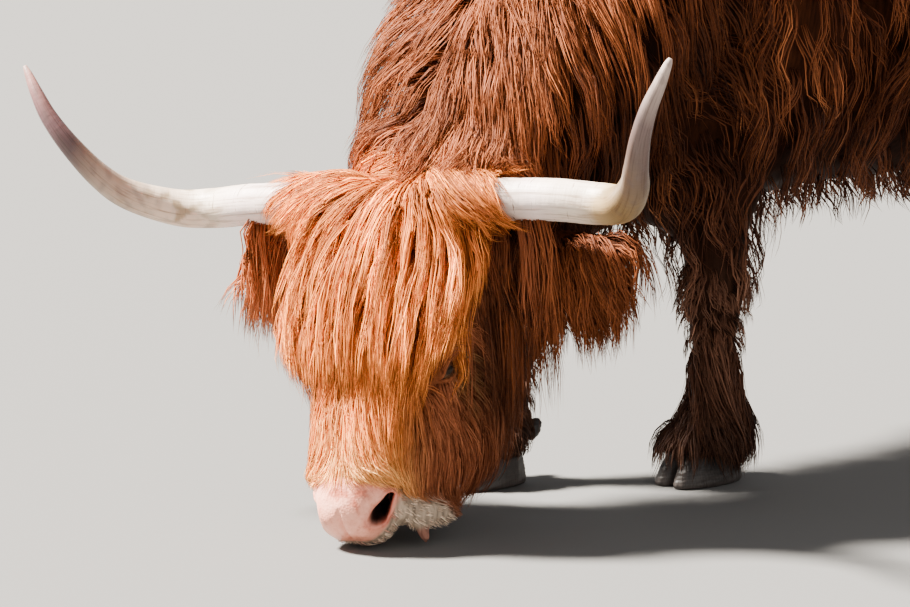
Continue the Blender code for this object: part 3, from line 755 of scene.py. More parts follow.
def lie_of_coat(points, normals, owner, names):
    """Which way the hair lies at each point of the skin."""
    head = to_head(points)
    count = len(points)
    fall = flat_part(np.tile(DOWN, (count, 1)), normals)
    flat = 1 - np.clip(np.linalg.norm(fall, axis=1), 0, 1)[:, None]
    side = np.tanh(points[:, 0] / 0.035)[:, None]
    away = flat_part(np.tile(LEFTWARD, (count, 1)), normals) * side
    tail = flat_part(np.tile(TAILWARD, (count, 1)), normals)
    lie = fall + flat * (1.1 * away + 0.6 * tail) + 0.20 * tail
    on_crest = ease(0.20, 0.05, np.abs(points[:, 0]))[:, None]
    neck_lie = fall + (0.28 + 0.27 * on_crest) * away + 0.16 * tail * (1 - on_crest)
    neck = part(owner, names, "neck")
    lie[neck] = neck_lie[neck]
    headed = part(owner, names, *HEAD_PARTS, "forelock", *EARS)
    lie[headed] = flat_part(face_lie(head), normals)[headed]
    nape = headed & on_nape(head)
    lie[nape] = neck_lie[nape]
    return unit(lie)


def face_length(head):
    """Short on the cheeks and round the eyes, long down the bridge, and ending above the pad."""
    x, y, z = head.T
    face = 0.082 - 0.020 * ease(-0.34, -0.40, z) + 0.020 * ease(0.06, 0.13, y)
    bridge = ease(0.085, 0.045, np.abs(x)) * ease(0.045, 0.015, y)
    face = face + (0.135 - face) * bridge
    from_eye = np.hypot(y - EYE_PLACE[1], z - EYE_PLACE[2])
    face = face * (1 - 0.45 * bell(from_eye, 0.0, 0.045) * ease(0.06, 0.08, np.abs(x)))
    face = face - (face - 0.030) * ease(-0.385, -0.405, z) * ease(0.02, 0.035, y)
    edge = -0.399 + 0.22 * np.clip(y - 0.02, 0, 0.10)
    face = np.minimum(face, 1.10 * np.clip(z - edge, 0, None) + 0.015)
    return face + 0.030 * ease(0.020, 0.040, y) * ease(edge + 0.004, edge - 0.004, z)


def coat_length(points, normals, owner, names):
    """How long the hair is at each point of the skin."""
    head = to_head(points)
    back = ease(0.35, 0.9, normals[:, 2])
    length = 0.175 - 0.050 * back
    length = length + 0.02 * ease(-0.3, -0.8, normals[:, 2])
    neck = part(owner, names, "neck")
    length[neck] = (0.165 - 0.03 * back)[neck]
    headed = part(owner, names, *HEAD_PARTS)
    length[headed] = face_length(head)[headed]
    length[headed & on_nape(head)] = 0.13
    lower = part(owner, names, *LOWERS)
    height = points[:, 2]
    shank = 0.100 - 0.068 * ease(0.40, 0.24, height) + 0.016 * ease(0.15, 0.09, height)
    length[lower] = shank[lower]
    length[part(owner, names, *UPPERS)] = 0.125
    length[part(owner, names, "udder")] = 0.02
    length[part(owner, names, "tail")] = 0.08
    length[part(owner, names, "switch")] = 0.26
    return length


def skin_facts(obj, outer):
    """All that the coat and the skin's paint need, at each point of the skin."""
    mesh = obj.data
    points, tri, ends = points_of(mesh), triangles_of(mesh), edges_of(mesh)
    normals = vertex_normals(points, tri)
    calm = unit(relaxed(normals, ends, 6))
    place, index = nearest(outer["tree"], points)
    owner = outer["owner"][index]
    names = outer["names"]
    sharp = markings(points, calm, owner, names)
    # The pad of the nose and the lips keep their sharper bounds.
    nosed = ease(-0.36, -0.39, to_head(points)[:, 2])
    colour = mixed(relaxed(sharp, ends, 10), relaxed(sharp, ends, 2), nosed)
    return {
        "points": points,
        "tri": tri,
        "ends": ends,
        "calm": calm,
        "owner": owner,
        "names": names,
        "tree": tree_of(points, tri),
        "depth": relaxed(np.linalg.norm(points - place, axis=1), ends, 6),
        "lie": unit(relaxed(lie_of_coat(points, calm, owner, names), ends, 14)),
        "length": relaxed(coat_length(points, calm, owner, names), ends, 14),
        "colour": colour,
        "posts": (),
    }


# ---------------------------------------------------------------- the coat

# The coat's outer form, and the outline that no lock may leave.
OUTER = outer_form([*FLESH, "forelock", *EARS])
OUTLINE = outer_form(OUTER["names"] + ["horn_left", "horn_right"])
# Roots are tried at so many places at most, and one is kept in each cell of a grid. The primes
# turn a cell's three numbers into one.
MOST_TRIES = 400000
CELL_PRIMES = np.array((73856093, 19349663, 83492791))
# The size of a tuft's own square on the shared map.
PATCH = 0.003
# The width and the length of one step in the pattern of fine hairs along a strand.
HAIR_WIDTH = 0.0008
HAIR_LENGTH = 0.035


def scatter(facts, weight, spacing, seed):
    """Evenly spread roots over the skin where weight is above nothing: their faces and shares."""
    rng = np.random.default_rng(seed)
    tri = facts["tri"]
    corners = facts["points"][tri]
    cross = np.cross(corners[:, 1] - corners[:, 0], corners[:, 2] - corners[:, 0])
    heavy = 0.5 * np.linalg.norm(cross, axis=1) * weight
    tries = int(min(heavy.sum() / spacing**2 * 7, MOST_TRIES)) + 1
    face = rng.choice(len(tri), tries, p=heavy / heavy.sum())
    a, b = np.sqrt(rng.random(tries)), rng.random(tries)
    shares = np.stack((1 - a, a * (1 - b), a * b), 1)
    place = np.einsum("ij,ijk->ik", shares, corners[face])
    grain = spacing / np.sqrt(np.clip(weight[face], 0.05, None))
    cell = np.floor(place / grain[:, None] + rng.random(3)).astype(np.int64)
    key = np.bitwise_xor.reduce(cell * CELL_PRIMES, axis=1)
    first = np.sort(np.unique(key, return_index=True)[1])
    return face[first], shares[first]


def drawn(facts, name, face, shares):
    """A fact at places given by their faces and shares."""
    values = facts[name]
    picked = values[facts["tri"][face]]
    if values.ndim == 1:
        return np.einsum("ij,ij->i", shares, picked)
    return np.einsum("ij,ijk->ik", shares, picked)


def swirl(points, size, seed):
    """A smooth wandering number between about -1 and 1."""
    rng = np.random.default_rng(seed)
    total = np.zeros(len(points))
    for _ in range(5):
        way = rng.normal(size=3) / size
        total += np.sin(points @ way * 2.2 + rng.uniform(0, 6.3))
    return total / 2.6


def pushed_out(p, posts):
    """The points, moved out of each post: a round bar with a start, an end and a reach."""
    for start, end, reach in posts:
        axis = end - start
        share = np.clip((p - start) @ axis / (axis @ axis), 0, 1)
        off = p - (start + share[:, None] * axis)
        gap = np.linalg.norm(off, axis=1)
        p = p + unit(off) * np.clip(reach - gap, 0, None)[:, None] * (share > 0.02)[:, None]
    return p


def drape(facts, roots, normals, lie, length, depth, style, rng, lie_at):
    """Guide paths that leave the skin, lie along it with the hair's flow, and hang where it ends."""
    steps, count = style["steps"], len(roots)
    stride = (length / steps)[:, None]
    path = np.empty((steps + 1, count, 3))
    up = np.empty((steps + 1, count, 3))
    p = roots - normals * 0.002
    path[0], up[0] = p, normals
    stray = rng.normal(0, style["stray"], count)[:, None]
    layer = style["high"] - (style["high"] - style["low"]) * rng.random(count) ** 1.5
    hang = ease(0.15, 0.75, -normals[:, 2]) * style["fringe"]
    hold = style["hold"] * (1 - hang)
    way = lie + np.cross(normals, lie) * stray + normals * style["rise"]
    way = unit(way + DOWN * (1.6 * hang)[:, None])
    for k in range(1, steps + 1):
        p = pushed_out(p + way * stride, facts["posts"])
        place, index = nearest(facts["tree"], p)
        corners = facts["tri"][index]
        n = unit(facts["calm"][corners].mean(1))
        height = np.sum((p - place) * n, axis=1)
        here = facts["depth"][corners].mean(1)
        full = np.minimum(np.maximum(here, 0.4 * depth), 1.2 * depth + 0.004)
        want = full * layer * (0.12 + 0.88 * (k / steps) ** style["climb"])
        p = p + n * (np.clip(want - height, 0, None) * 0.9)[:, None]
        spare = np.clip(height - want - 0.003, 0, None)
        p = p - n * (spare * hold)[:, None]
        path[k], up[k] = p, n
        flow = lie_at(p) if lie_at else facts["lie"][corners].mean(1)
        local = unit(flat_part(flow, n))
        turn = stray + style["twist"] * swirl(p, style["eddy"], 2)[:, None]
        local = unit(local + np.cross(n, local) * turn)
        free = np.clip(spare * (1 - hold) / 0.03 + hang, 0, 1)[:, None]
        pull = style["droop"] * (1 + 2 * hang)[:, None]
        way = unit(0.4 * way + 0.6 * local * (1 - free) + 0.6 * way * free + DOWN * pull)
    return path, up


def trimmed(path, up, outer, proud, rng):
    """Guides that would stick out of the coat's outline, or reach the floor, end there."""
    steps, count = len(path) - 1, path.shape[1]
    cut = np.full(count, float(steps))
    done = np.zeros(count, bool)
    for k in range(2, steps + 1):
        place, index = nearest(outer["tree"], path[k])
        out = np.sum((path[k] - place) * outer["normals"][index], axis=1)
        leaves = (out > proud) & ~done
        cut[leaves] = k - rng.uniform(0.2, 0.9, leaves.sum())
        done |= leaves
    low = path[:, :, 2] < 0.004
    for k in range(1, steps + 1):
        cut[low[k] & (cut > k - 1)] = k - 1
    cut = np.maximum(cut, 0.25 * steps)
    spots = np.linspace(0, 1, steps + 1)[:, None] * cut
    every = np.arange(count)
    return along(path, spots, every), unit(along(up, spots, every)), cut / steps


def along(path, spots, which):
    """Places at the given steps of the chosen guides."""
    low = np.clip(np.floor(spots).astype(int), 0, len(path) - 2)
    share = (spots - low)[..., None]
    which = np.broadcast_to(which, spots.shape)
    return path[low, which] * (1 - share) + path[low + 1, which] * share


def strand_lines(path, up, length, which, style, rng):
    """The middle line of each strand, its outward way, and how much of the guide it takes."""
    steps, guides, each = len(path) - 1, path.shape[1], style["strands"]
    count = len(which)
    reach = rng.uniform(style["short"], 1.0, count)
    share = np.linspace(0, 1, style["segments"] + 1)[:, None]
    spots = share * reach * steps
    middle = along(path, spots, which)
    out = unit(along(up, spots, which))
    way = unit(np.gradient(middle, axis=0))
    side = unit(np.cross(way, out))
    out = np.cross(side, way)
    angle = rng.uniform(0, 2 * math.pi, count)
    off = np.sqrt(rng.random(count))
    a, c = off * np.cos(angle) * style["radius"], off * np.sin(angle) * style["radius"]
    gather = 1 - style["gather"] * share**1.2
    fray = rng.normal(0, style["fray"], (2, count)) * length[which]
    phase = np.repeat(rng.uniform(0, 2 * math.pi, guides), each) + rng.normal(0, 0.5, count)
    pitch = np.repeat(rng.uniform(0.75, 1.3, guides), each) * style["pitch"]
    run = share * reach * length[which]
    turns = 2 * math.pi * run / pitch
    swing = style["wave"] * np.minimum(share * 2, 1)
    sideways = a * gather + fray[0] * share**1.5 + swing * np.sin(turns + phase)
    outward = c * gather * style["thick"] * np.minimum(share * 4, 1)
    outward = outward + fray[1] * share**1.5 * 0.6 + 0.6 * swing * np.cos(turns * 0.8 + phase)
    middle = middle + side * sideways[..., None] + out * outward[..., None]
    middle[..., 2] = np.maximum(middle[..., 2], 0.003)
    return middle, out, reach


def strand_shells(middle, out, style, rng):
    """Three-sided strands round their middle lines, tapered to a point."""
    rings, count = style["segments"], middle.shape[1]
    way = unit(np.gradient(middle, axis=0))
    side = unit(np.cross(way, out))
    roll = rng.normal(0, 0.5, count)[:, None]
    flat = side * np.cos(roll) + np.cross(way, side) * np.sin(roll)
    width = style["width"] * rng.uniform(0.65, 1.25, count)
    share = np.linspace(0, 1, rings + 1)
    taper = np.interp(share, (0, 0.2, 0.5, 0.8, 1.0), (0.75, 1.0, 0.86, 0.48, 0.0))[:, None]
    half = (width * taper)[..., None]
    corners = (middle - flat * half, middle + flat * half, middle + np.cross(flat, way) * half * 0.7)
    points = np.empty((count, rings * 3 + 1, 3), np.float32)
    for corner, line in enumerate(corners):
        points[:, corner : rings * 3 : 3] = line[:rings].transpose(1, 0, 2)
    points[:, -1] = middle[rings]
    return points, width


def strand_faces(rings):
    """One strand's quads and end triangles, as indices of its own points."""
    quads = []
    for b in range(0, 3 * (rings - 1), 3):
        quads += [(b, b + 2, b + 5, b + 3), (b + 2, b + 1, b + 4, b + 5), (b + 1, b, b + 3, b + 4)]
    b, tip = 3 * (rings - 1), 3 * rings
    ends = [(b, b + 2, tip), (b + 2, b + 1, tip), (b + 1, b, tip), (0, 1, 2)]
    return quads, ends


def strand_tints(colour, which, style, rng):
    """Darker at the root as painted shade deep in the coat, paler at the tip, and each strand and lock a
    little its own.
    """
    rings, count = style["segments"], len(which)
    share = np.linspace(0, 1, rings + 1)
    own = np.exp(rng.normal(0, style["mottle"], count))
    lock = np.exp(rng.normal(0, style["mottle"] * 0.7, len(colour)))[which]
    # The style's shade ramp paints the roots darker, as the shade deep in the coat.
    pale = (own * lock)[:, None] * np.interp(share, (0, 0.25, 0.7, 1), style["shade"])
    tint = colour[which][:, None, :] * pale[:, :, None] ** np.array((1.0, 1.15, 1.25))
    shades = np.empty((count, rings * 3 + 1, 3), np.float32)
    for corner in range(3):
        shades[:, corner : rings * 3 : 3] = tint[:, :rings]
    shades[:, -1] = tint[:, rings]
    return shades


def strand_squares(patch, width, run, rings, rng):
    """Each strand's place in its tuft's patch, and in the pattern of fine hairs."""
    count = len(width)
    share = np.linspace(0, 1, rings + 1)
    across = np.empty((count, rings * 3 + 1))
    lengthways = np.empty((count, rings * 3 + 1))
    for corner, (u, lift) in enumerate(((0.0, 0.0), (1.0, 0.0), (0.5, 0.05))):
        across[:, corner : rings * 3 : 3] = u
        lengthways[:, corner : rings * 3 : 3] = share[:rings] + lift
    across[:, -1], lengthways[:, -1] = 0.5, 1.0
    baked = np.stack((patch[:, :1] + PATCH * across, patch[:, 1:] + PATCH * lengthways), -1)
    offset = rng.uniform(0, 60, (count, 2))
    fine_across = offset[:, :1] + across * (width[:, None] * 2 / HAIR_WIDTH)
    fine_along = offset[:, 1:] + lengthways * run[:, None] / HAIR_LENGTH
    return baked, np.stack((fine_across, fine_along), -1)


def strand_mesh(name, points, faces, shades, baked, fine):
    """One mesh of many strands that all have the same faces."""
    quads, ends = faces
    count, each = points.shape[:2]
    local = np.concatenate((np.array(quads).ravel(), np.array(ends).ravel()))
    loops = (np.arange(count)[:, None] * each + local).ravel()
    totals = np.tile(np.array([4] * len(quads) + [3] * len(ends)), count)
    starts = np.concatenate(([0], np.cumsum(totals)[:-1]))
    mesh = bpy.data.meshes.new(name)
    mesh.vertices.add(count * each)
    mesh.vertices.foreach_set("co", points.ravel())
    mesh.loops.add(len(loops))
    mesh.loops.foreach_set("vertex_index", loops.astype(np.int32))
    mesh.polygons.add(len(totals))
    mesh.polygons.foreach_set("loop_start", starts.astype(np.int32))
    mesh.update(calc_edges=True)
    for uv_name, values in (("OFBake", baked), ("Strand", fine)):
        layer = mesh.uv_layers.new(name=uv_name)
        layer.data.foreach_set("uv", values[:, local].astype(np.float32).ravel())
    paint(mesh, "tint", shades.reshape(-1, 3))
    return mesh


def turn_round(a, b):
    """The angle of a direction as a share of a whole turn."""
    return np.arctan2(a, b) / (2 * math.pi) + 0.5


def unwrap_body(points):
    """Round and along the trunk and neck."""
    return np.stack((turn_round(points[:, 0], points[:, 2] - 0.75), (points[:, 1] + 1.1) / 2.25), 1)


def unwrap_head(points):
    """Round and along the head."""
    x, y, z = to_head(points).T
    return np.stack((turn_round(x, -(y - 0.06)), np.clip((z + 0.50) / 0.66, 0, 1)), 1)


def unwrap_ears(points):
    """Round and along each ear, one above the other."""
    x, y, z = to_head(points).T
    out = np.clip((np.abs(x) - 0.05) / 0.32, 0, 1)
    return np.stack((turn_round(y - 0.09, z + 0.06), out * 0.49 + 0.5 * (x > 0)), 1)


def unwrap_legs(points):
    """Four strips side by side, each one leg unrolled."""
    feet = np.array(list(FEET.values()))
    gap = np.linalg.norm(points[:, None, :2] - feet[None], axis=2)
    leg = np.argmin(gap, axis=1)
    here = points[:, :2] - feet[leg]
    round_ = turn_round(here[:, 0], here[:, 1])
    return np.stack(((leg + 0.02 + 0.94 * round_) / 4, np.clip(points[:, 2], 0, 1)), 1)


def unwrap_tail(points):
    """Round and down the tail."""
    round_ = turn_round(points[:, 0], points[:, 1] - 0.972)
    return np.stack((round_, np.clip(points[:, 2] / 1.15, 0, 1)), 1)


def locks_within(facts, weight, spacing, seed, allowed, rng):
    """Roots at about the spacing that gives as many locks as the piece is allowed."""
    for _ in range(5):
        face, shares = scatter(facts, weight, spacing, seed)
        if 0.94 * allowed < len(face) <= allowed:
            break
        spacing *= math.sqrt(len(face) / (0.98 * allowed))
    if len(face) > allowed:
        keep = np.sort(rng.choice(len(face), allowed, replace=False))
        face, shares = face[keep], shares[keep]
    return face, shares


def grow(
    name,
    facts,
    weight,
    spacing,
    style,
    unwrap,
    seed,
    material,
    most,
    lie_at=None,
    lengths=None,
    colours=None,
):
    """One piece of the coat, of at most so many triangles, grown over part of the skin."""
    rng = np.random.default_rng(seed)
    each, rings = style["strands"], style["segments"]
    allowed = most // (each * (6 * (rings - 1) + 4))
    face, shares = locks_within(facts, weight, spacing, seed + 1, allowed, rng)
    roots = drawn(facts, "points", face, shares)
    normals = unit(drawn(facts, "calm", face, shares))
    lie = lie_at(roots) if lie_at else drawn(facts, "lie", face, shares)
    lie = unit(flat_part(lie, normals))
    length = lengths(roots) if lengths else drawn(facts, "length", face, shares)
    length = length * rng.uniform(0.80, 1.12, len(roots)) * style["grow"]
    depth = drawn(facts, "depth", face, shares)
    tone = colours(roots) if colours else drawn(facts, "colour", face, shares)
    turn = swirl(roots, style["eddy"], 2) * style["twist"]
    lie = unit(lie + np.cross(normals, lie) * turn[:, None])
    path, up = drape(facts, roots, normals, lie, length, depth, style, rng, lie_at)
    path, up, kept = trimmed(path, up, OUTLINE, style["proud"], rng)
    length = length * kept
    tone = tone * np.exp(0.12 * swirl(roots, style["eddy"] * 0.6, seed + 3))[:, None]
    which = np.repeat(np.arange(len(roots)), each)
    middle, out, reach = strand_lines(path, up, length, which, style, rng)
    points, width = strand_shells(middle, out, style, rng)
    shades = strand_tints(tone, which, style, rng)
    patch = np.clip(unwrap(roots), 0.002, 0.994)[which]
    baked, fine = strand_squares(patch, width, reach * length[which], rings, rng)
    return piece(name, strand_mesh(name, points, strand_faces(rings), shades, baked, fine), material)


# ---------------------------------------------------------------- finishes


def node(tree, kind, **values):
    """A new node, with its inputs and settings by name."""
    made = tree.nodes.new(kind)
    for key, value in values.items():
        if key in made.inputs:
            made.inputs[key].default_value = value
        else:
            setattr(made, key, value)
    return made


def new_material(name, rough, specular):
    """A material, its node tree and its shader."""
    material = bpy.data.materials.new(name)
    material.use_nodes = True
    shader = material.node_tree.nodes["Principled BSDF"]
    shader.inputs["Roughness"].default_value = rough
    shader.inputs["Specular IOR Level"].default_value = specular
    return material, material.node_tree, shader


def attribute(tree, name):
    """What the mesh says at each point, under a name."""
    return node(tree, "ShaderNodeAttribute", attribute_name=name)


def own_map(tree, name):
    """A place on one of the mesh's own maps."""
    return node(tree, "ShaderNodeUVMap", uv_map=name).outputs["UV"]


def object_place(tree):
    """A place in the object's own axes."""
    return node(tree, "ShaderNodeTexCoord").outputs["Object"]


def one_way(tree, vector, axis):
    """One of a vector's three numbers."""
    split = node(tree, "ShaderNodeSeparateXYZ")
    tree.links.new(vector, split.inputs["Vector"])
    return split.outputs[axis]


def stretched(tree, vector, scale):
    """A pattern's place, scaled by its own amount each way."""
    made = node(tree, "ShaderNodeMapping", Scale=scale)
    tree.links.new(vector, made.inputs["Vector"])
    return made.outputs["Vector"]


def noise(tree, vector, detail, roughness=0.5, scale=1.0, dimensions="3D"):
    """A cloudy number from 0 to 1."""
    made = node(
        tree,
        "ShaderNodeTexNoise",
        noise_dimensions=dimensions,
        Scale=scale,
        Detail=detail,
        Roughness=roughness,
    )
    tree.links.new(vector, made.inputs["Vector"])
    return made.outputs["Fac"]


def toned(tree, value, stops):
    """A number turned into a tone, by stops of place and grey or colour."""
    made = tree.nodes.new("ShaderNodeValToRGB")
    line = made.color_ramp
    while len(line.elements) < len(stops):
        line.elements.new(0.5)
    for element, (place, colour) in zip(line.elements, stops):
        element.position = place
        colour = (colour,) * 3 if isinstance(colour, float) else colour
        element.color = (*colour, 1.0)
    tree.links.new(value, made.inputs["Fac"])
    return made.outputs["Color"]


def mix_of(tree, one, other, share=1.0, **settings):
    """A mix of two colours, by a number or by another node's output."""
    mix = node(tree, "ShaderNodeMix", data_type="RGBA", **settings)
    if isinstance(share, float):
        mix.inputs["Factor"].default_value = share
    else:
        tree.links.new(share, mix.inputs["Factor"])
    tree.links.new(one, mix.inputs["A"])
    tree.links.new(other, mix.inputs["B"])
    return mix.outputs["Result"]


def multiply(tree, one, other, share=1.0):
    """Two colours multiplied."""
    return mix_of(tree, one, other, share, blend_type="MULTIPLY")


def worked(tree, operation, one, other):
    """The result of sums on numbers; the second may be a plain one."""
    made = node(tree, "ShaderNodeMath", operation=operation)
    tree.links.new(one, made.inputs[0])
    if isinstance(other, float):
        made.inputs[1].default_value = other
    else:
        tree.links.new(other, made.inputs[1])
    return made.outputs["Value"]


def ranged(tree, value, low, high):
    """A number from 0 to 1 spread from low to high."""
    made = node(tree, "ShaderNodeMapRange")
    made.inputs["To Min"].default_value = low
    made.inputs["To Max"].default_value = high
    tree.links.new(value, made.inputs["Value"])
    return made.outputs["Result"]


def length_of(tree, vector):
    """How long a vector is."""
    made = node(tree, "ShaderNodeVectorMath", operation="LENGTH")
    tree.links.new(vector, made.inputs[0])
    return made.outputs["Value"]


def raise_relief(tree, shader, height, strength, distance):
    """Shades a material as if its surface had a fine relief."""
    bump = node(tree, "ShaderNodeBump", Strength=strength, Distance=distance)
    tree.links.new(height, bump.inputs["Height"])
    tree.links.new(bump.outputs["Normal"], shader.inputs["Normal"])


def hair_material(name, streak, relief):
    """Strand colour from the coat's own tint, with fine hairs drawn along each strand."""
    material, tree, shader = new_material(name, 0.60, 0.12)
    hairs = noise(tree, own_map(tree, "Strand"), 2.0, 0.6, dimensions="2D")
    tone = toned(tree, hairs, ((0.28, 1.0 - streak), (0.52, 1.0), (0.75, 1.0 + 0.6 * streak)))
    colour = multiply(tree, attribute(tree, "tint").outputs["Color"], tone)
    tree.links.new(colour, shader.inputs["Base Color"])
    raise_relief(tree, shader, hairs, relief, 0.0006)
    return material


def skin_material():
    """Hide under the coat, streaked the way the hair lies, and pebbled where it is bare."""
    material, tree, shader = new_material("hide", 0.55, 0.35)
    place = object_place(tree)
    bare = attribute(tree, "bare").outputs["Fac"]
    hairs = noise(tree, stretched(tree, place, (160.0, 160.0, 22.0)), 3.0, 0.6)
    hair_tone = toned(tree, hairs, ((0.3, 0.30), (0.7, 0.95)))
    blotch = noise(tree, place, 5.0, 0.65, 42.0)
    tones = (0.34, (0.60, 0.36, 0.29)), (0.48, (0.95, 0.84, 0.80)), (0.66, (1.10, 1.10, 1.10))
    blush = toned(tree, blotch, tones)
    which = mix_of(tree, hair_tone, blush, bare)
    colour = multiply(tree, attribute(tree, "hide").outputs["Color"], which)
    tree.links.new(colour, shader.inputs["Base Color"])
    tree.links.new(ranged(tree, bare, 0.03, 0.50), shader.inputs["Specular IOR Level"])
    tree.links.new(ranged(tree, bare, 0.60, 0.34), shader.inputs["Roughness"])
    pebble = node(tree, "ShaderNodeTexVoronoi", Scale=300.0, Randomness=0.9)
    tree.links.new(place, pebble.inputs["Vector"])
    height = node(tree, "ShaderNodeMix")
    tree.links.new(bare, height.inputs["Factor"])
    tree.links.new(hairs, height.inputs["A"])
    tree.links.new(pebble.outputs["Distance"], height.inputs["B"])
    raise_relief(tree, shader, height.outputs["Result"], 0.35, 0.0010)
    return material


def horn_material():
    """The horn's own tones, with fibres along it and fine cracks round the root."""
    material, tree, shader = new_material("horn", 0.42, 0.45)
    grown = own_map(tree, "Grown")
    fibres = noise(tree, stretched(tree, grown, (38.0, 7.0, 1.0)), 5.0, 0.65, dimensions="2D")
    fibre_tone = toned(tree, fibres, ((0.30, (0.42, 0.33, 0.26)), (0.47, 1.0), (0.75, 1.08)))
    colour = multiply(tree, attribute(tree, "tint").outputs["Color"], fibre_tone, 0.75)
    rings = noise(tree, stretched(tree, grown, (3.0, 90.0, 1.0)), 4.0, 0.7, dimensions="2D")
    crack = toned(tree, rings, ((0.30, (0.30, 0.22, 0.17)), (0.345, 1.0)))
    at_root = toned(tree, one_way(tree, grown, "Y"), ((0.28, 1.0), (0.55, 0.15)))
    tree.links.new(multiply(tree, colour, crack, at_root), shader.inputs["Base Color"])
    raise_relief(tree, shader, worked(tree, "ADD", fibres, rings), 0.35, 0.0012)
    return material


def hoof_material():
    """Dark horn of the claws, a little paler at the rim, with growth rings and long fibres."""
    material, tree, shader = new_material("hoof", 0.50, 0.40)
    place = object_place(tree)
    height = worked(tree, "MULTIPLY", one_way(tree, place, "Z"), 20.0)
    body = toned(
        tree,
        height,
        (
            (0.0, (0.060, 0.048, 0.042)),
            (0.25, (0.040, 0.031, 0.027)),
            (0.7, (0.022, 0.016, 0.014)),
            (1.0, (0.015, 0.011, 0.010)),
        ),
    )
    rings = noise(tree, stretched(tree, place, (14.0, 14.0, 260.0)), 4.0, 0.6)
    fibres = noise(tree, stretched(tree, place, (420.0, 420.0, 30.0)), 3.0, 0.6)
    both = worked(tree, "ADD", rings, fibres)
    tone = toned(tree, worked(tree, "MULTIPLY", both, 0.5), ((0.35, 0.55), (0.65, 1.25)))
    tree.links.new(multiply(tree, body, tone), shader.inputs["Base Color"])
    raise_relief(tree, shader, both, 0.5, 0.0010)
    return material


def eye_material():
    """A long dark pupil in a brown iris, a white round it painted dark brown as shade over the eye, and a
    wet front.
    """
    material, tree, shader = new_material("eye", 0.14, 0.22)
    look = own_map(tree, "Look")
    # The outer stops, the white of the eye, are painted dark brown as the shade over the eye.
    rings = toned(
        tree,
        length_of(tree, look),
        (
            (0.30, (0.040, 0.016, 0.008)),
            (0.64, (0.070, 0.030, 0.013)),
            (0.74, (0.012, 0.008, 0.007)),
            (0.84, (0.070, 0.042, 0.032)),
            (1.00, (0.140, 0.085, 0.065)),
        ),
    )
    fibres = toned(tree, noise(tree, look, 4.0, scale=9.0), ((0.35, 0.65), (0.65, 1.30)))
    slot = length_of(tree, stretched(tree, look, (1.0, 1.9, 1.0)))
    pupil = toned(tree, slot, ((0.34, 0.04), (0.40, 1.0)))
    tree.links.new(multiply(tree, multiply(tree, rings, fibres), pupil), shader.inputs["Base Color"])
    shader.inputs["Specular Tint"].default_value = (1.0, 0.66, 0.46, 1.0)
    shader.inputs["Coat Weight"].default_value = 0.03
    shader.inputs["Coat Roughness"].default_value = 0.03
    return material


# ---------------------------------------------------------------- forelock and ears


def horn_posts():
    """The straight roots of the horns, which the hair lies over."""
    posts = []
    for side in (1, -1):
        start = from_head((side * 0.070, -0.004, 0.0))
        posts.append((start, from_head((side * 0.185, -0.002, 0.0)), 0.0330))
    return posts


def forelock_lie(points):
    """Out from the whorl on the poll, down the face, and over the roots of the horns."""
    x, y, z = to_head(points).T
    ax, s, still = np.abs(x), np.sign(x), np.zeros(len(x))
    dx, dz = x - WHORL[0], z - WHORL[2]
    top = unit(np.stack((dx, still - 0.012, np.minimum(dz - 0.012, -0.10 * np.abs(dx) - 0.004)), 1))
    inward = ease(-0.09, -0.20, z) * np.where(x > 0, 0.12, 0.32)
    across = 0.9 * (x - 0.01) * ease(-0.12, -0.05, z) - inward * x / 0.13
    flow = mixed(top, unit(np.stack((across, still, still - 1.0), 1)), ease(0.012, -0.085, z))
    flow = mixed(flow, np.stack((0.28 * s, still, still - 1.0), 1), ease(0.145, 0.200, ax))
    over = unit(np.stack((s, still - 0.20, still - 0.50), 1))
    sleeve = ease(0.075, 0.115, ax) * ease(-0.055, -0.020, z) * ease(0.175, 0.150, ax)
    return head_way(mixed(flow, over, sleeve))


def forelock_lengths(points):
    """Long enough to reach the forelock's lower edge, and short in the sleeve round each horn."""
    x, y, z = to_head(points).T
    ax = np.abs(x)
    out = np.abs(x - 0.022)
    end = -0.288 + 0.022 * ease(0.055, 0.10, out) + 0.085 * ease(0.115, 0.165, out)
    run = (z - end) * 1.10 + 0.35 * np.maximum(0.12 - ax, 0) * ease(-0.02, 0.03, z)
    run = np.clip(run, 0.05, 0.36)
    run = np.minimum(run, 1.15 * (0.214 - ax) + 0.3 * ease(-0.03, -0.07, z))
    sleeve = ease(0.085, 0.110, ax) * ease(-0.045, -0.015, z) * ease(-0.016, 0.000, y)
    return run * (1 - sleeve) + (0.040 + 0.018 * swirl(points, 0.010, 9)) * sleeve


def forelock_colour(points):
    """Gold, redder towards the sides and palest over the poll."""
    x, y, z = to_head(points).T
    base = mixed(np.tile(GOLD, (len(x), 1)), RUST * 1.35, 0.45 * ease(0.05, 0.12, np.abs(x)))
    return mixed(base, GOLD * 1.12, 0.7 * ease(0.0, 0.04, z))


def forelock_facts(facts):
    """The skin's facts with the depth of the forelock in place of the face's."""
    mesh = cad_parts["forelock"].data
    tree = tree_of(points_of(mesh), triangles_of(mesh))
    points, normals = facts["points"], facts["calm"]
    head = to_head(points)
    near = np.nonzero((head[:, 2] > -0.36) & (np.abs(head[:, 0]) < 0.2) & (head[:, 1] < 0.12))[0]
    depth = facts["depth"].copy()
    for i in near:
        p, n = Vector(points[i]), Vector(normals[i])
        hit = tree.ray_cast(p + n * 0.2, -n, 0.2)
        if hit[0] is not None:
            depth[i] = max(0.2 - hit[3], depth[i])
    return dict(facts, depth=relaxed(depth, facts["ends"], 10), posts=horn_posts())


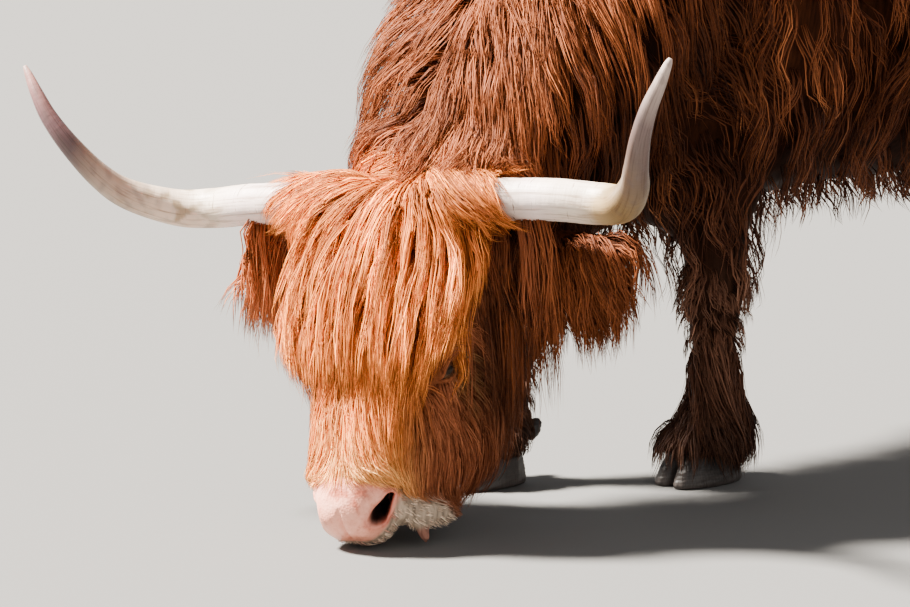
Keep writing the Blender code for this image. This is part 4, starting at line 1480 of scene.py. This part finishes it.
def ear_lie(points):
    """Down from the ear, and a little outwards towards its tip."""
    x, y, z = to_head(points).T
    count = len(x)
    out = head_way(np.stack((np.sign(x), np.full(count, 0.10), np.zeros(count)), 1))
    tip = ease(0.16, 0.30, np.abs(x))[:, None]
    reach = np.where(x > 0, 0.22, 0.45)[:, None]
    return unit(out * (0.20 + reach * tip) + DOWN * (0.95 - 0.20 * tip) + TAILWARD * 0.1)


def ear_lengths(points):
    """Long on the ear, and shorter towards its tip."""
    return 0.230 - 0.075 * ease(0.16, 0.30, np.abs(to_head(points)[:, 0]))


# ---------------------------------------------------------------- the coat, piece by piece

# A lock follows one guide path of so many steps. Its strands have so many segments and share the
# rest: how wide a lock and a strand are, how far strands gather or fray towards the tip, how they
# wave, how steeply they rise from the skin and how hard they droop or hold to it, how far locks
# stray or follow the eddies, between which shares of the coat's depth they lie, and how they are
# shaded from root to tip.
EVERY = dict(eddy=0.12, fringe=1.0, grow=1.0, proud=0.010)
FORELOCK = dict(
    EVERY, steps=10, strands=9, segments=6, radius=0.0085, width=0.00072, gather=0.66, fray=0.010,
    wave=0.0012, pitch=0.085, rise=0.55, droop=0.12, hold=0.80, stray=0.09, low=0.40, high=1.30,
    climb=0.55, thick=0.7, short=0.62, shade=(0.30, 0.72, 1.0, 1.15), mottle=0.42, twist=0.12,
    proud=0.018,
)
FACE = dict(
    EVERY, steps=6, strands=5, segments=4, radius=0.0062, width=0.00070, gather=0.40, fray=0.012,
    wave=0.0008, pitch=0.05, rise=0.40, droop=0.05, hold=0.80, stray=0.12, low=0.40, high=1.25,
    climb=0.7, thick=0.8, short=0.65, shade=(0.65, 0.92, 1.05, 1.15), mottle=0.24, twist=0.22,
    proud=0.020,
)
MUZZLE = dict(
    FACE, strands=6, radius=0.0040, width=0.00046, gather=0.22, fray=0.02, wave=0.0003, rise=0.03,
    droop=0.0, hold=0.95, stray=0.09, low=0.18, high=0.60, mottle=0.26, twist=0.12, fringe=0.0,
    proud=0.004,
)
EAR = dict(
    EVERY, steps=9, strands=12, segments=4, radius=0.0100, width=0.00108, gather=0.48, fray=0.022,
    wave=0.0030, pitch=0.10, rise=0.45, droop=0.16, hold=0.10, stray=0.20, low=0.35, high=1.2,
    climb=0.6, thick=0.8, short=0.45, shade=(0.40, 0.80, 1.0, 1.1), mottle=0.24, twist=0.15,
    proud=0.058,
)
NECK = dict(
    EVERY, steps=8, strands=12, segments=4, radius=0.0130, width=0.00086, gather=0.42, fray=0.014,
    wave=0.0022, pitch=0.11, rise=0.50, droop=0.10, hold=0.72, stray=0.11, low=0.80, high=1.45,
    climb=0.32, thick=0.7, short=0.62, shade=(0.45, 0.84, 1.0, 1.10), mottle=0.24, twist=0.24,
    proud=0.030,
)
TRUNK = dict(
    NECK, strands=10, segments=6, radius=0.0165, width=0.00105, gather=0.5, fray=0.035, wave=0.0100,
    pitch=0.105, stray=0.26, low=0.65, high=1.05, climb=0.4, shade=(0.30, 0.75, 1.05, 1.40),
    mottle=0.42, twist=1.0, eddy=0.13, proud=0.016,
)
BROAD = dict(
    TRUNK, strands=9, segments=5, radius=0.0270, width=0.0021, gather=0.45, wave=0.0075, pitch=0.150,
)
LEG = dict(
    EVERY, steps=7, strands=8, segments=4, radius=0.0075, width=0.00088, gather=0.55, fray=0.030,
    wave=0.0050, pitch=0.06, rise=0.45, droop=0.06, hold=0.70, stray=0.22, low=0.45, high=1.1,
    climb=0.6, thick=0.8, short=0.55, shade=(0.40, 0.82, 1.0, 1.15), mottle=0.28, twist=0.40, grow=1.1,
    proud=0.014,
)
BROAD_LEG = dict(LEG, strands=7, radius=0.0110, width=0.0015)
TAIL = dict(
    EVERY, steps=8, strands=10, segments=5, radius=0.0170, width=0.0017, gather=0.35, fray=0.012,
    wave=0.0040, pitch=0.12, rise=0.30, droop=0.30, hold=0.30, stray=0.10, low=0.45, high=1.1,
    climb=0.6, thick=0.8, short=0.60, shade=(0.35, 0.8, 1.0, 1.1), mottle=0.25, twist=0.2,
)
SIDES = (("left", 1.0), ("right", -1.0))
LONG_HAIR = hair_material("long hair", 0.55, 0.5)
SHORT_HAIR = hair_material("short hair", 0.40, 0.35)


def skin_faces(facts):
    """Where the skin's faces are, and which of them are on the head, ears and nape."""
    tri = facts["tri"]
    middle = facts["points"][tri].mean(1)
    owner = facts["owner"][tri[:, 0]]
    head = to_head(middle)
    x, y, z = head.T
    headed = part(owner, facts["names"], *HEAD_PARTS, "forelock")
    eared = (np.abs(x) > 0.118) & (z < 0.09) & (z > -0.16) & (y > 0.035)
    eared |= part(owner, facts["names"], *EARS)
    eared &= (z < np.where(x > 0, -0.018, -0.011)) | (x > 0.250)
    return {
        "middle": middle,
        "facing": facts["calm"][tri].mean(1)[:, 2],
        "owner": owner,
        "head": head,
        "headed": headed,
        "eared": eared,
        "nape": headed & on_nape(head),
        "haired": headed * (1 - bare_nose(head)),
    }


def forelock_pieces(facts, at):
    """The forelock's two halves, thickest over the poll and beside the face."""
    x, y, z = at["head"].T
    lock = ease(-0.205, -0.15, z) * ease(0.044, 0.024, y) * ease(0.138, 0.124, np.abs(x)) * at["headed"]
    lock *= (1.0 + 1.2 * ease(-0.01, 0.02, z)) * ease(0.085, 0.065, z)
    lock *= 1.0 + 2.0 * ease(0.075, 0.100, np.abs(x)) * ease(-0.03, -0.07, z)
    deep = forelock_facts(facts)
    for number, (side, s) in enumerate(SIDES):
        half = (s * (x - 0.010) > 0) * lock
        yield grow(
            "forelock_" + side, deep, half, 0.0055, FORELOCK, unwrap_head, 11 + number, LONG_HAIR, 140000,
            forelock_lie, forelock_lengths, forelock_colour,
        )


def face_pieces(facts, at):
    """The short hair of the face, thin under the forelock and thick on the cheeks."""
    x, y, z = at["head"].T
    ax = np.abs(x)
    eye = np.linalg.norm(left_half(at["head"]) - EYE_PLACE, axis=1)
    long_way, short_way = lid_ways(y, z)
    lid = np.where(eye < 0.04, np.hypot(long_way / LID_LONG, short_way / LID_SHORT), 9.0)
    covered = ease(-0.17, -0.11, z) * ease(0.04, 0.0, y)
    cover = at["haired"] * (1 - 0.9 * covered) * (lid > 1.25) * (z > -0.388) * ~at["eared"] * ~at["nape"]
    cover = cover * ~((ax > 0.120) & (z > -0.045) & (y < 0.050))
    cover = cover * (1 - 0.65 * ease(0.13, 0.20, y)) * (1 - 0.4 * ease(-0.02, 0.02, z))
    whorl = bell(np.hypot(y, z - CHEEK_WHORL), 0.0, 0.045) * ease(0.05, 0.08, ax)
    cover = cover * (1 + 1.5 * ease(-0.25, -0.33, z) * ease(0.06, 0.02, y)) * (1 + 1.6 * whorl)
    cover = cover * (1 - 0.8 * ease(-0.358, -0.374, z) * ease(0.04, 0.02, y))
    for number, ((side, s), most) in enumerate(zip(SIDES, (160000, 75000))):
        half = (s * x > 0) * cover
        yield grow("face_" + side, facts, half, 0.0062, FACE, unwrap_head, 21 + number, SHORT_HAIR, most)


def muzzle_pieces(facts, at):
    """The fine pale hair of the lips and chin."""
    y, z = at["head"][:, 1], at["head"][:, 2]
    tip = at["haired"] * ease(-0.362, -0.376, z) * ease(0.012, 0.030, y)
    tip = np.maximum(tip, at["haired"] * (z <= -0.386))
    tip = tip * (np.linalg.norm(at["head"] - LIP_FLAP[1], axis=1) > 0.013)
    tip = tip * (nostril(left_half(at["head"]), 1.0)[0] > 1.35)
    yield grow("muzzle_hair", facts, tip, 0.0030, MUZZLE, unwrap_head, 31, SHORT_HAIR, 70000)


def ear_pieces(facts, at):
    """The long fringe that hangs from each ear and from its root."""
    x, y, z = at["head"].T
    ax = np.abs(x)
    root = at["headed"] & (ax > 0.085) & (ax < 0.135) & (y > 0.02) & (y < 0.14) & (z > -0.10) & (z < 0.02)
    fringe = at["eared"] * (1 + 1.5 * ease(0.18, 0.28, ax)) + 0.8 * (root & ~at["eared"])
    for number, ((side, s), most) in enumerate(zip(SIDES, (115000, 50000))):
        half = (s * x > 0) * fringe
        yield grow(
            "ear_hair_" + side, facts, half, 0.0085, EAR, unwrap_ears, 41 + number, LONG_HAIR, most,
            ear_lie, ear_lengths,
        )


def neck_pieces(facts, at):
    """The neck's mane, thickest along the crest."""
    x = at["middle"][:, 0]
    necked = part(at["owner"], facts["names"], "neck") | at["nape"]
    crested = 1.0 + 1.4 * ease(0.13, 0.03, np.abs(x)) * ease(0.0, 0.4, at["facing"])
    for number, ((side, s), most) in enumerate(zip(SIDES, (165000, 88000))):
        half = (s * x > 0) * necked * crested
        yield grow("neck_" + side, facts, half, 0.0100, NECK, unwrap_body, 51 + number, LONG_HAIR, most)


def body_pieces(facts, at):
    """Shoulders and flanks, a little thicker along the back."""
    x, y = at["middle"][:, 0], at["middle"][:, 1]
    body = part(at["owner"], facts["names"], "trunk", "udder", *UPPERS)
    left, right = body & (x > 0), body & (x <= 0)
    topped = 1.0 + 1.2 * ease(0.45, 0.85, at["facing"])
    regions = (
        ("shoulder_left", left & (y < 0.12), 150000, 0.0125, TRUNK),
        ("shoulder_right", right & (y < 0.15), 60000, 0.018, BROAD),
        ("flank_left", left & (y >= 0.12), 92000, 0.019, BROAD),
        ("flank_right", right & (y >= 0.15), 75000, 0.021, BROAD),
    )
    for number, (name, where, most, spacing, style) in enumerate(regions):
        yield grow(name, facts, where * topped, spacing, style, unwrap_body, 61 + number, LONG_HAIR, most)


def leg_pieces(facts, at):
    """The feather of the lower legs, down to the hooves."""
    for number, (which, style, most) in enumerate((("fore", LEG, 85000), ("hind", BROAD_LEG, 36000))):
        lowers = [name for name in LOWERS if name.startswith(which)]
        where = part(at["owner"], facts["names"], *lowers) & (at["middle"][:, 2] > 0.048)
        name = which + "_legs_hair"
        yield grow(name, facts, where * 1.0, 0.0105, style, unwrap_legs, 71 + number, LONG_HAIR, most)


def tail_pieces(facts, at):
    """The tail and its long switch."""
    where = part(at["owner"], facts["names"], "tail", "switch") * 1.0
    yield grow("tail_hair", facts, where, 0.012, TAIL, unwrap_tail, 81, LONG_HAIR, 34000)


def paint_skin(obj, facts):
    """The hide's colour, darker where the coat shades it, and how bare it is."""
    mesh = obj.data
    head = to_head(facts["points"])
    udder = part(facts["owner"], facts["names"], "udder")
    naked = np.clip(bare_nose(head) + relaxed(udder.astype(float), facts["ends"], 6), 0, 1)
    faced = ease(0.02, -0.10, head[:, 2]) * (np.abs(head[:, 0]) < 0.2)
    lit = 0.30 + 0.34 * faced
    paint(mesh, "hide", facts["colour"] * (lit + (1 - lit) * naked)[:, None])
    layer = mesh.attributes.new("bare", "FLOAT", "POINT")
    layer.data.foreach_set("value", naked.astype(np.float32))
    dress(mesh, skin_material())


SKIN = build_skin(OUTER)
thin_skin(SKIN)
SKIN.name = "skin"
FACTS = skin_facts(SKIN, OUTER)
paint_skin(SKIN, FACTS)
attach(SKIN, "root")
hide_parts(*FLESH, "forelock", "ear_left", "ear_right")
PLACES = skin_faces(FACTS)
for pieces, slot in (
    (forelock_pieces, "forelock_coat"),
    (face_pieces, "head_coat"),
    (muzzle_pieces, "head_coat"),
    (ear_pieces, "ear_coat"),
    (neck_pieces, "coat"),
    (body_pieces, "coat"),
    (leg_pieces, "leg_coat"),
    (tail_pieces, "coat"),
):
    for coat in pieces(FACTS, PLACES):
        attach(coat, "root")


# ---------------------------------------------------------------- horns


# Stations along the horns in the head's own axes: a place and the radius there.
LEFT_HORN = (
    (0.080, -0.002, 0.000, 0.0300), (0.130, 0.000, -0.001, 0.0287), (0.179, 0.004, -0.001, 0.0278),
    (0.235, 0.010, -0.001, 0.0277), (0.295, 0.021, -0.004, 0.0272), (0.340, 0.004, -0.010, 0.0248),
    (0.385, -0.048, -0.008, 0.0200), (0.410, -0.090, 0.002, 0.0162), (0.436, -0.133, 0.025, 0.0134),
    (0.458, -0.160, 0.053, 0.0112), (0.476, -0.173, 0.081, 0.0088), (0.488, -0.180, 0.104, 0.0056),
    (0.492, -0.182, 0.112, 0.0028),
)
RIGHT_HORN = (
    (-0.080, -0.006, -0.002, 0.0300), (-0.130, -0.005, -0.001, 0.0287), (-0.181, -0.003, 0.000, 0.0278),
    (-0.245, 0.007, 0.003, 0.0277), (-0.305, 0.016, 0.003, 0.0268), (-0.350, -0.004, -0.002, 0.0246),
    (-0.393, -0.056, -0.001, 0.0206), (-0.415, -0.099, 0.011, 0.0172), (-0.439, -0.143, 0.039, 0.0142),
    (-0.462, -0.169, 0.070, 0.0116), (-0.478, -0.183, 0.098, 0.0090), (-0.493, -0.190, 0.124, 0.0056),
    (-0.500, -0.193, 0.136, 0.0028),
)

# The horns' tones by the share of their length.
LEFT_TONES = {
    0.00: (0.42, 0.32, 0.27),
    0.17: (0.62, 0.50, 0.44),
    0.23: (0.86, 0.70, 0.65),
    0.35: (0.80, 0.66, 0.53),
    0.42: (0.48, 0.33, 0.17),
    0.50: (0.26, 0.17, 0.075),
    0.61: (0.19, 0.130, 0.080),
    0.72: (0.105, 0.066, 0.053),
    0.84: (0.125, 0.080, 0.074),
    0.93: (0.31, 0.23, 0.20),
    1.00: (0.62, 0.48, 0.42),
}
RIGHT_TONES = {
    0.00: (0.42, 0.32, 0.27),
    0.17: (0.60, 0.47, 0.42),
    0.24: (0.82, 0.66, 0.61),
    0.36: (0.80, 0.66, 0.54),
    0.50: (0.68, 0.54, 0.42),
    0.62: (0.46, 0.35, 0.27),
    0.71: (0.25, 0.17, 0.13),
    0.80: (0.098, 0.056, 0.056),
    0.88: (0.155, 0.078, 0.082),
    0.94: (0.40, 0.19, 0.165),
    1.00: (0.60, 0.40, 0.34),
}
STAIN = np.array((0.24, 0.165, 0.075))
SLATE = np.array((0.12, 0.085, 0.080))


def horn_tones(points, where, tones):
    """The horn's colour at each point: uneven bands, with brown stains at the bend."""
    run = np.array([w[1] for w in where])
    run = run / run.max()
    spots = np.clip(run + 0.030 * swirl(points, 0.045, 5), 0, 1)
    bands = np.array(list(tones.values()))
    colour = np.stack([np.interp(spots, list(tones), band) for band in bands.T], 1)
    blot = ease(0.15, 0.95, swirl(points, 0.020, 6) + 0.4 * swirl(points, 0.008, 7))
    colour = mixed(colour, STAIN, blot * 0.75 * bell(run, 0.48, 0.13))
    grey = ease(0.1, 0.9, swirl(points, 0.013, 8)) * ease(0.40, 0.60, run)
    return mixed(colour, SLATE, 0.35 * grey)


def build_horn(name, stations, tones, seed, material):
    """A long horn, faintly ringed at its root and slightly flattened along its length."""
    rows = between(stations, 14)
    path = from_head(rows[:, :3])
    rng = np.random.default_rng(seed)
    turns = rng.uniform(0, 6.3, 6)

    def relief(angle, run, share):
        base = ease(0.42, 0.10, share)
        rings = math.sin(run * 420 + 1.5 * math.sin(angle + turns[0])) * 0.006
        rings += math.sin(run * 170 + 1.1 * math.sin(2 * angle + turns[1])) * 0.008
        flats = 0.006 * math.sin(3 * angle + run * 9 + turns[2]) + 0.004 * math.sin(5 * angle + turns[3])
        return rings * base + flats * (1 - 0.6 * share)

    points, faces, where = tube(path, rows[:, 3], 56, relief)
    mesh = mesh_from(name, points, faces)
    total = max(w[1] for w in where)
    layer = mesh.uv_layers.new(name="Grown")
    for poly in mesh.polygons:
        us = [where[v][0] for v in poly.vertices]
        wrap = max(us) - min(us) > 0.5
        for loop, v in zip(poly.loop_indices, poly.vertices):
            u, run = where[v]
            layer.data[loop].uv = (u + (1.0 if wrap and u < 0.4 else 0.0), run / total)
    paint(mesh, "tint", horn_tones(points, where, tones))
    return piece(name, mesh, material)


HORN = horn_material()
for name, node_name, stations, tones, seed in (
    ("left_horn", "horn_left", LEFT_HORN, LEFT_TONES, 9),
    ("right_horn", "horn_right", RIGHT_HORN, RIGHT_TONES, 10),
):
    horn = build_horn(name, stations, tones, seed, HORN)
    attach(horn, "root")
    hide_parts(node_name)


# ---------------------------------------------------------------- hooves


def build_hooves(foot, material):
    """The two claws and two dewclaws of one foot, rounded off and ringed by their growth."""
    names = [kind + "_" + foot + "_" + side for kind in ("claw", "dewclaw") for side in ("left", "right")]
    bm = bmesh.new()
    for name in names:
        bm.from_mesh(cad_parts[name].data)
    obj = remeshed(bm, foot + "_hooves", 0.0024)
    points, tri, ends = points_of(obj.data), triangles_of(obj.data), edges_of(obj.data)
    points = relaxed(points, ends, 5, 0.5)
    normals = vertex_normals(points, tri)
    wall = ease(0.9, 0.5, np.abs(normals[:, 2]))
    rise = points[:, 2] - 0.22 * (points[:, 1] - points[:, 1].mean())
    ring = np.sin(rise * 1250 + 0.8 * swirl(points, 0.03, 3))
    ring = ring + 0.7 * np.sin(rise * 560 + swirl(points, 0.05, 4))
    points = points + normals * (0.00032 * ring * wall)[:, None]
    points[:, 2] = np.maximum(points[:, 2], 0.0)
    lay(obj, points)
    dress(obj.data, material)
    return obj, names


HOOF = hoof_material()
for foot in FEET:
    hooves, names = build_hooves(foot, HOOF)
    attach(hooves, "root")
    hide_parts(*names)


# ---------------------------------------------------------------- eyes


def build_eye(name, side, material):
    """A ball whose clear front stands a little proud, looking out of the lids."""
    gaze = unit(np.array((side * 0.94, -0.26, -0.16)))
    long_way = unit(np.cross(np.cross(gaze, (0.0, *LID_SLANT)), gaze))
    short_way = np.cross(gaze, long_way)
    rows, sides = 28, 40
    points, look = [], []
    for i in range(rows + 1):
        fall = math.pi * i / rows
        reach = (EYE_RADIUS - 0.0004) * (1 + 0.045 * float(ease(0.72, 0.40, fall)))
        for k in range(1 if i in (0, rows) else sides):
            turn = 2 * math.pi * k / sides
            across = long_way * math.cos(turn) + short_way * math.sin(turn)
            out = gaze * math.cos(fall) + across * math.sin(fall)
            points.append(out * reach + EYE_PLACE * (side, 1, 1))
            look.append((fall * math.cos(turn), fall * math.sin(turn)))
    faces = []
    for k in range(sides):
        after = (k + 1) % sides
        faces.append((0, 1 + k, 1 + after))
        last = len(points) - 1
        faces.append((last, last - sides + after, last - sides + k))
    for i in range(rows - 2):
        for k in range(sides):
            a, b = 1 + i * sides + k, 1 + i * sides + (k + 1) % sides
            faces.append((a, a + sides, b + sides, b))
    mesh = mesh_from(name, from_head(points), faces)
    layer = mesh.uv_layers.new(name="Look")
    for poly in mesh.polygons:
        for loop, v in zip(poly.loop_indices, poly.vertices):
            layer.data[loop].uv = look[v]
    return piece(name, mesh, material)


EYE = eye_material()
for name, node_name, side in (("left_eyeball", "eye_left", 1.0), ("right_eyeball", "eye_right", -1.0)):
    eyeball = build_eye(name, side, EYE)
    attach(eyeball, "root")
    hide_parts(node_name)


# ---------------------------------------------------------------- floor, light and camera

# Half the width of the floor.
FLOOR = 40


def look_along(obj, way):
    """Turns a lamp or a camera to look along a direction."""
    obj.rotation_euler = way.to_track_quat("-Z", "Y").to_euler()


def studio():
    """A pale floor, an even pale surround, a warm key light and a soft fill."""
    corners = [(-FLOOR, -FLOOR, 0), (FLOOR, -FLOOR, 0), (FLOOR, FLOOR, 0), (-FLOOR, FLOOR, 0)]
    material, _, shader = new_material("pale floor", 0.85, 0.5)
    shader.inputs["Base Color"].default_value = (0.112, 0.110, 0.107, 1.0)
    floor = piece("floor", mesh_from("floor", corners, [(0, 1, 2, 3)]), material)
    floor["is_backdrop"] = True
    world = bpy.data.worlds.new("studio")
    bpy.context.scene.world = world
    world.use_nodes = True
    background = world.node_tree.nodes["Background"]
    background.inputs["Color"].default_value = (0.92, 0.91, 0.90, 1.0)
    background.inputs["Strength"].default_value = 0.72
    lamps = (
        ("key", "SUN", (-4.5, -2.95, 7.15), math.radians(10), 46.0, (1.0, 0.94, 0.85)),
        ("fill", "AREA", (5.5, -2.0, 2.6), 3.0, 52.0, (1.0, 0.96, 0.90)),
    )
    for name, kind, place, spread, power, tint in lamps:
        lamp = bpy.data.lights.new(name, kind)
        if kind == "SUN":
            lamp.angle = spread
        else:
            lamp.shape = "DISK"
            lamp.size = spread
        lamp.energy = power
        lamp.color = tint
        obj = linked(name, lamp)
        obj.location = place
        look_along(obj, Vector((0.0, -0.35, 0.45)) - Vector(place))


def camera():
    """A long lens from the cow's left front, looking a little down."""
    data = bpy.data.cameras.new("camera")
    data.sensor_width = 36.0
    data.lens = 228.5
    data.clip_start, data.clip_end = 0.5, 200.0
    obj = linked("camera", data)
    turn, fall = math.radians(45.0), math.radians(10.0)
    aim = Vector((-math.sin(turn) * math.cos(fall), math.cos(turn) * math.cos(fall), -math.sin(fall)))
    obj.location = (5.337, -6.009, 1.611)
    look_along(obj, aim)
    bpy.context.scene.camera = obj


studio()
camera()

boxes = {"cad": CAD_BOX, "visual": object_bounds()}
{k: [list(corner) for corner in v] for k, v in boxes.items()}
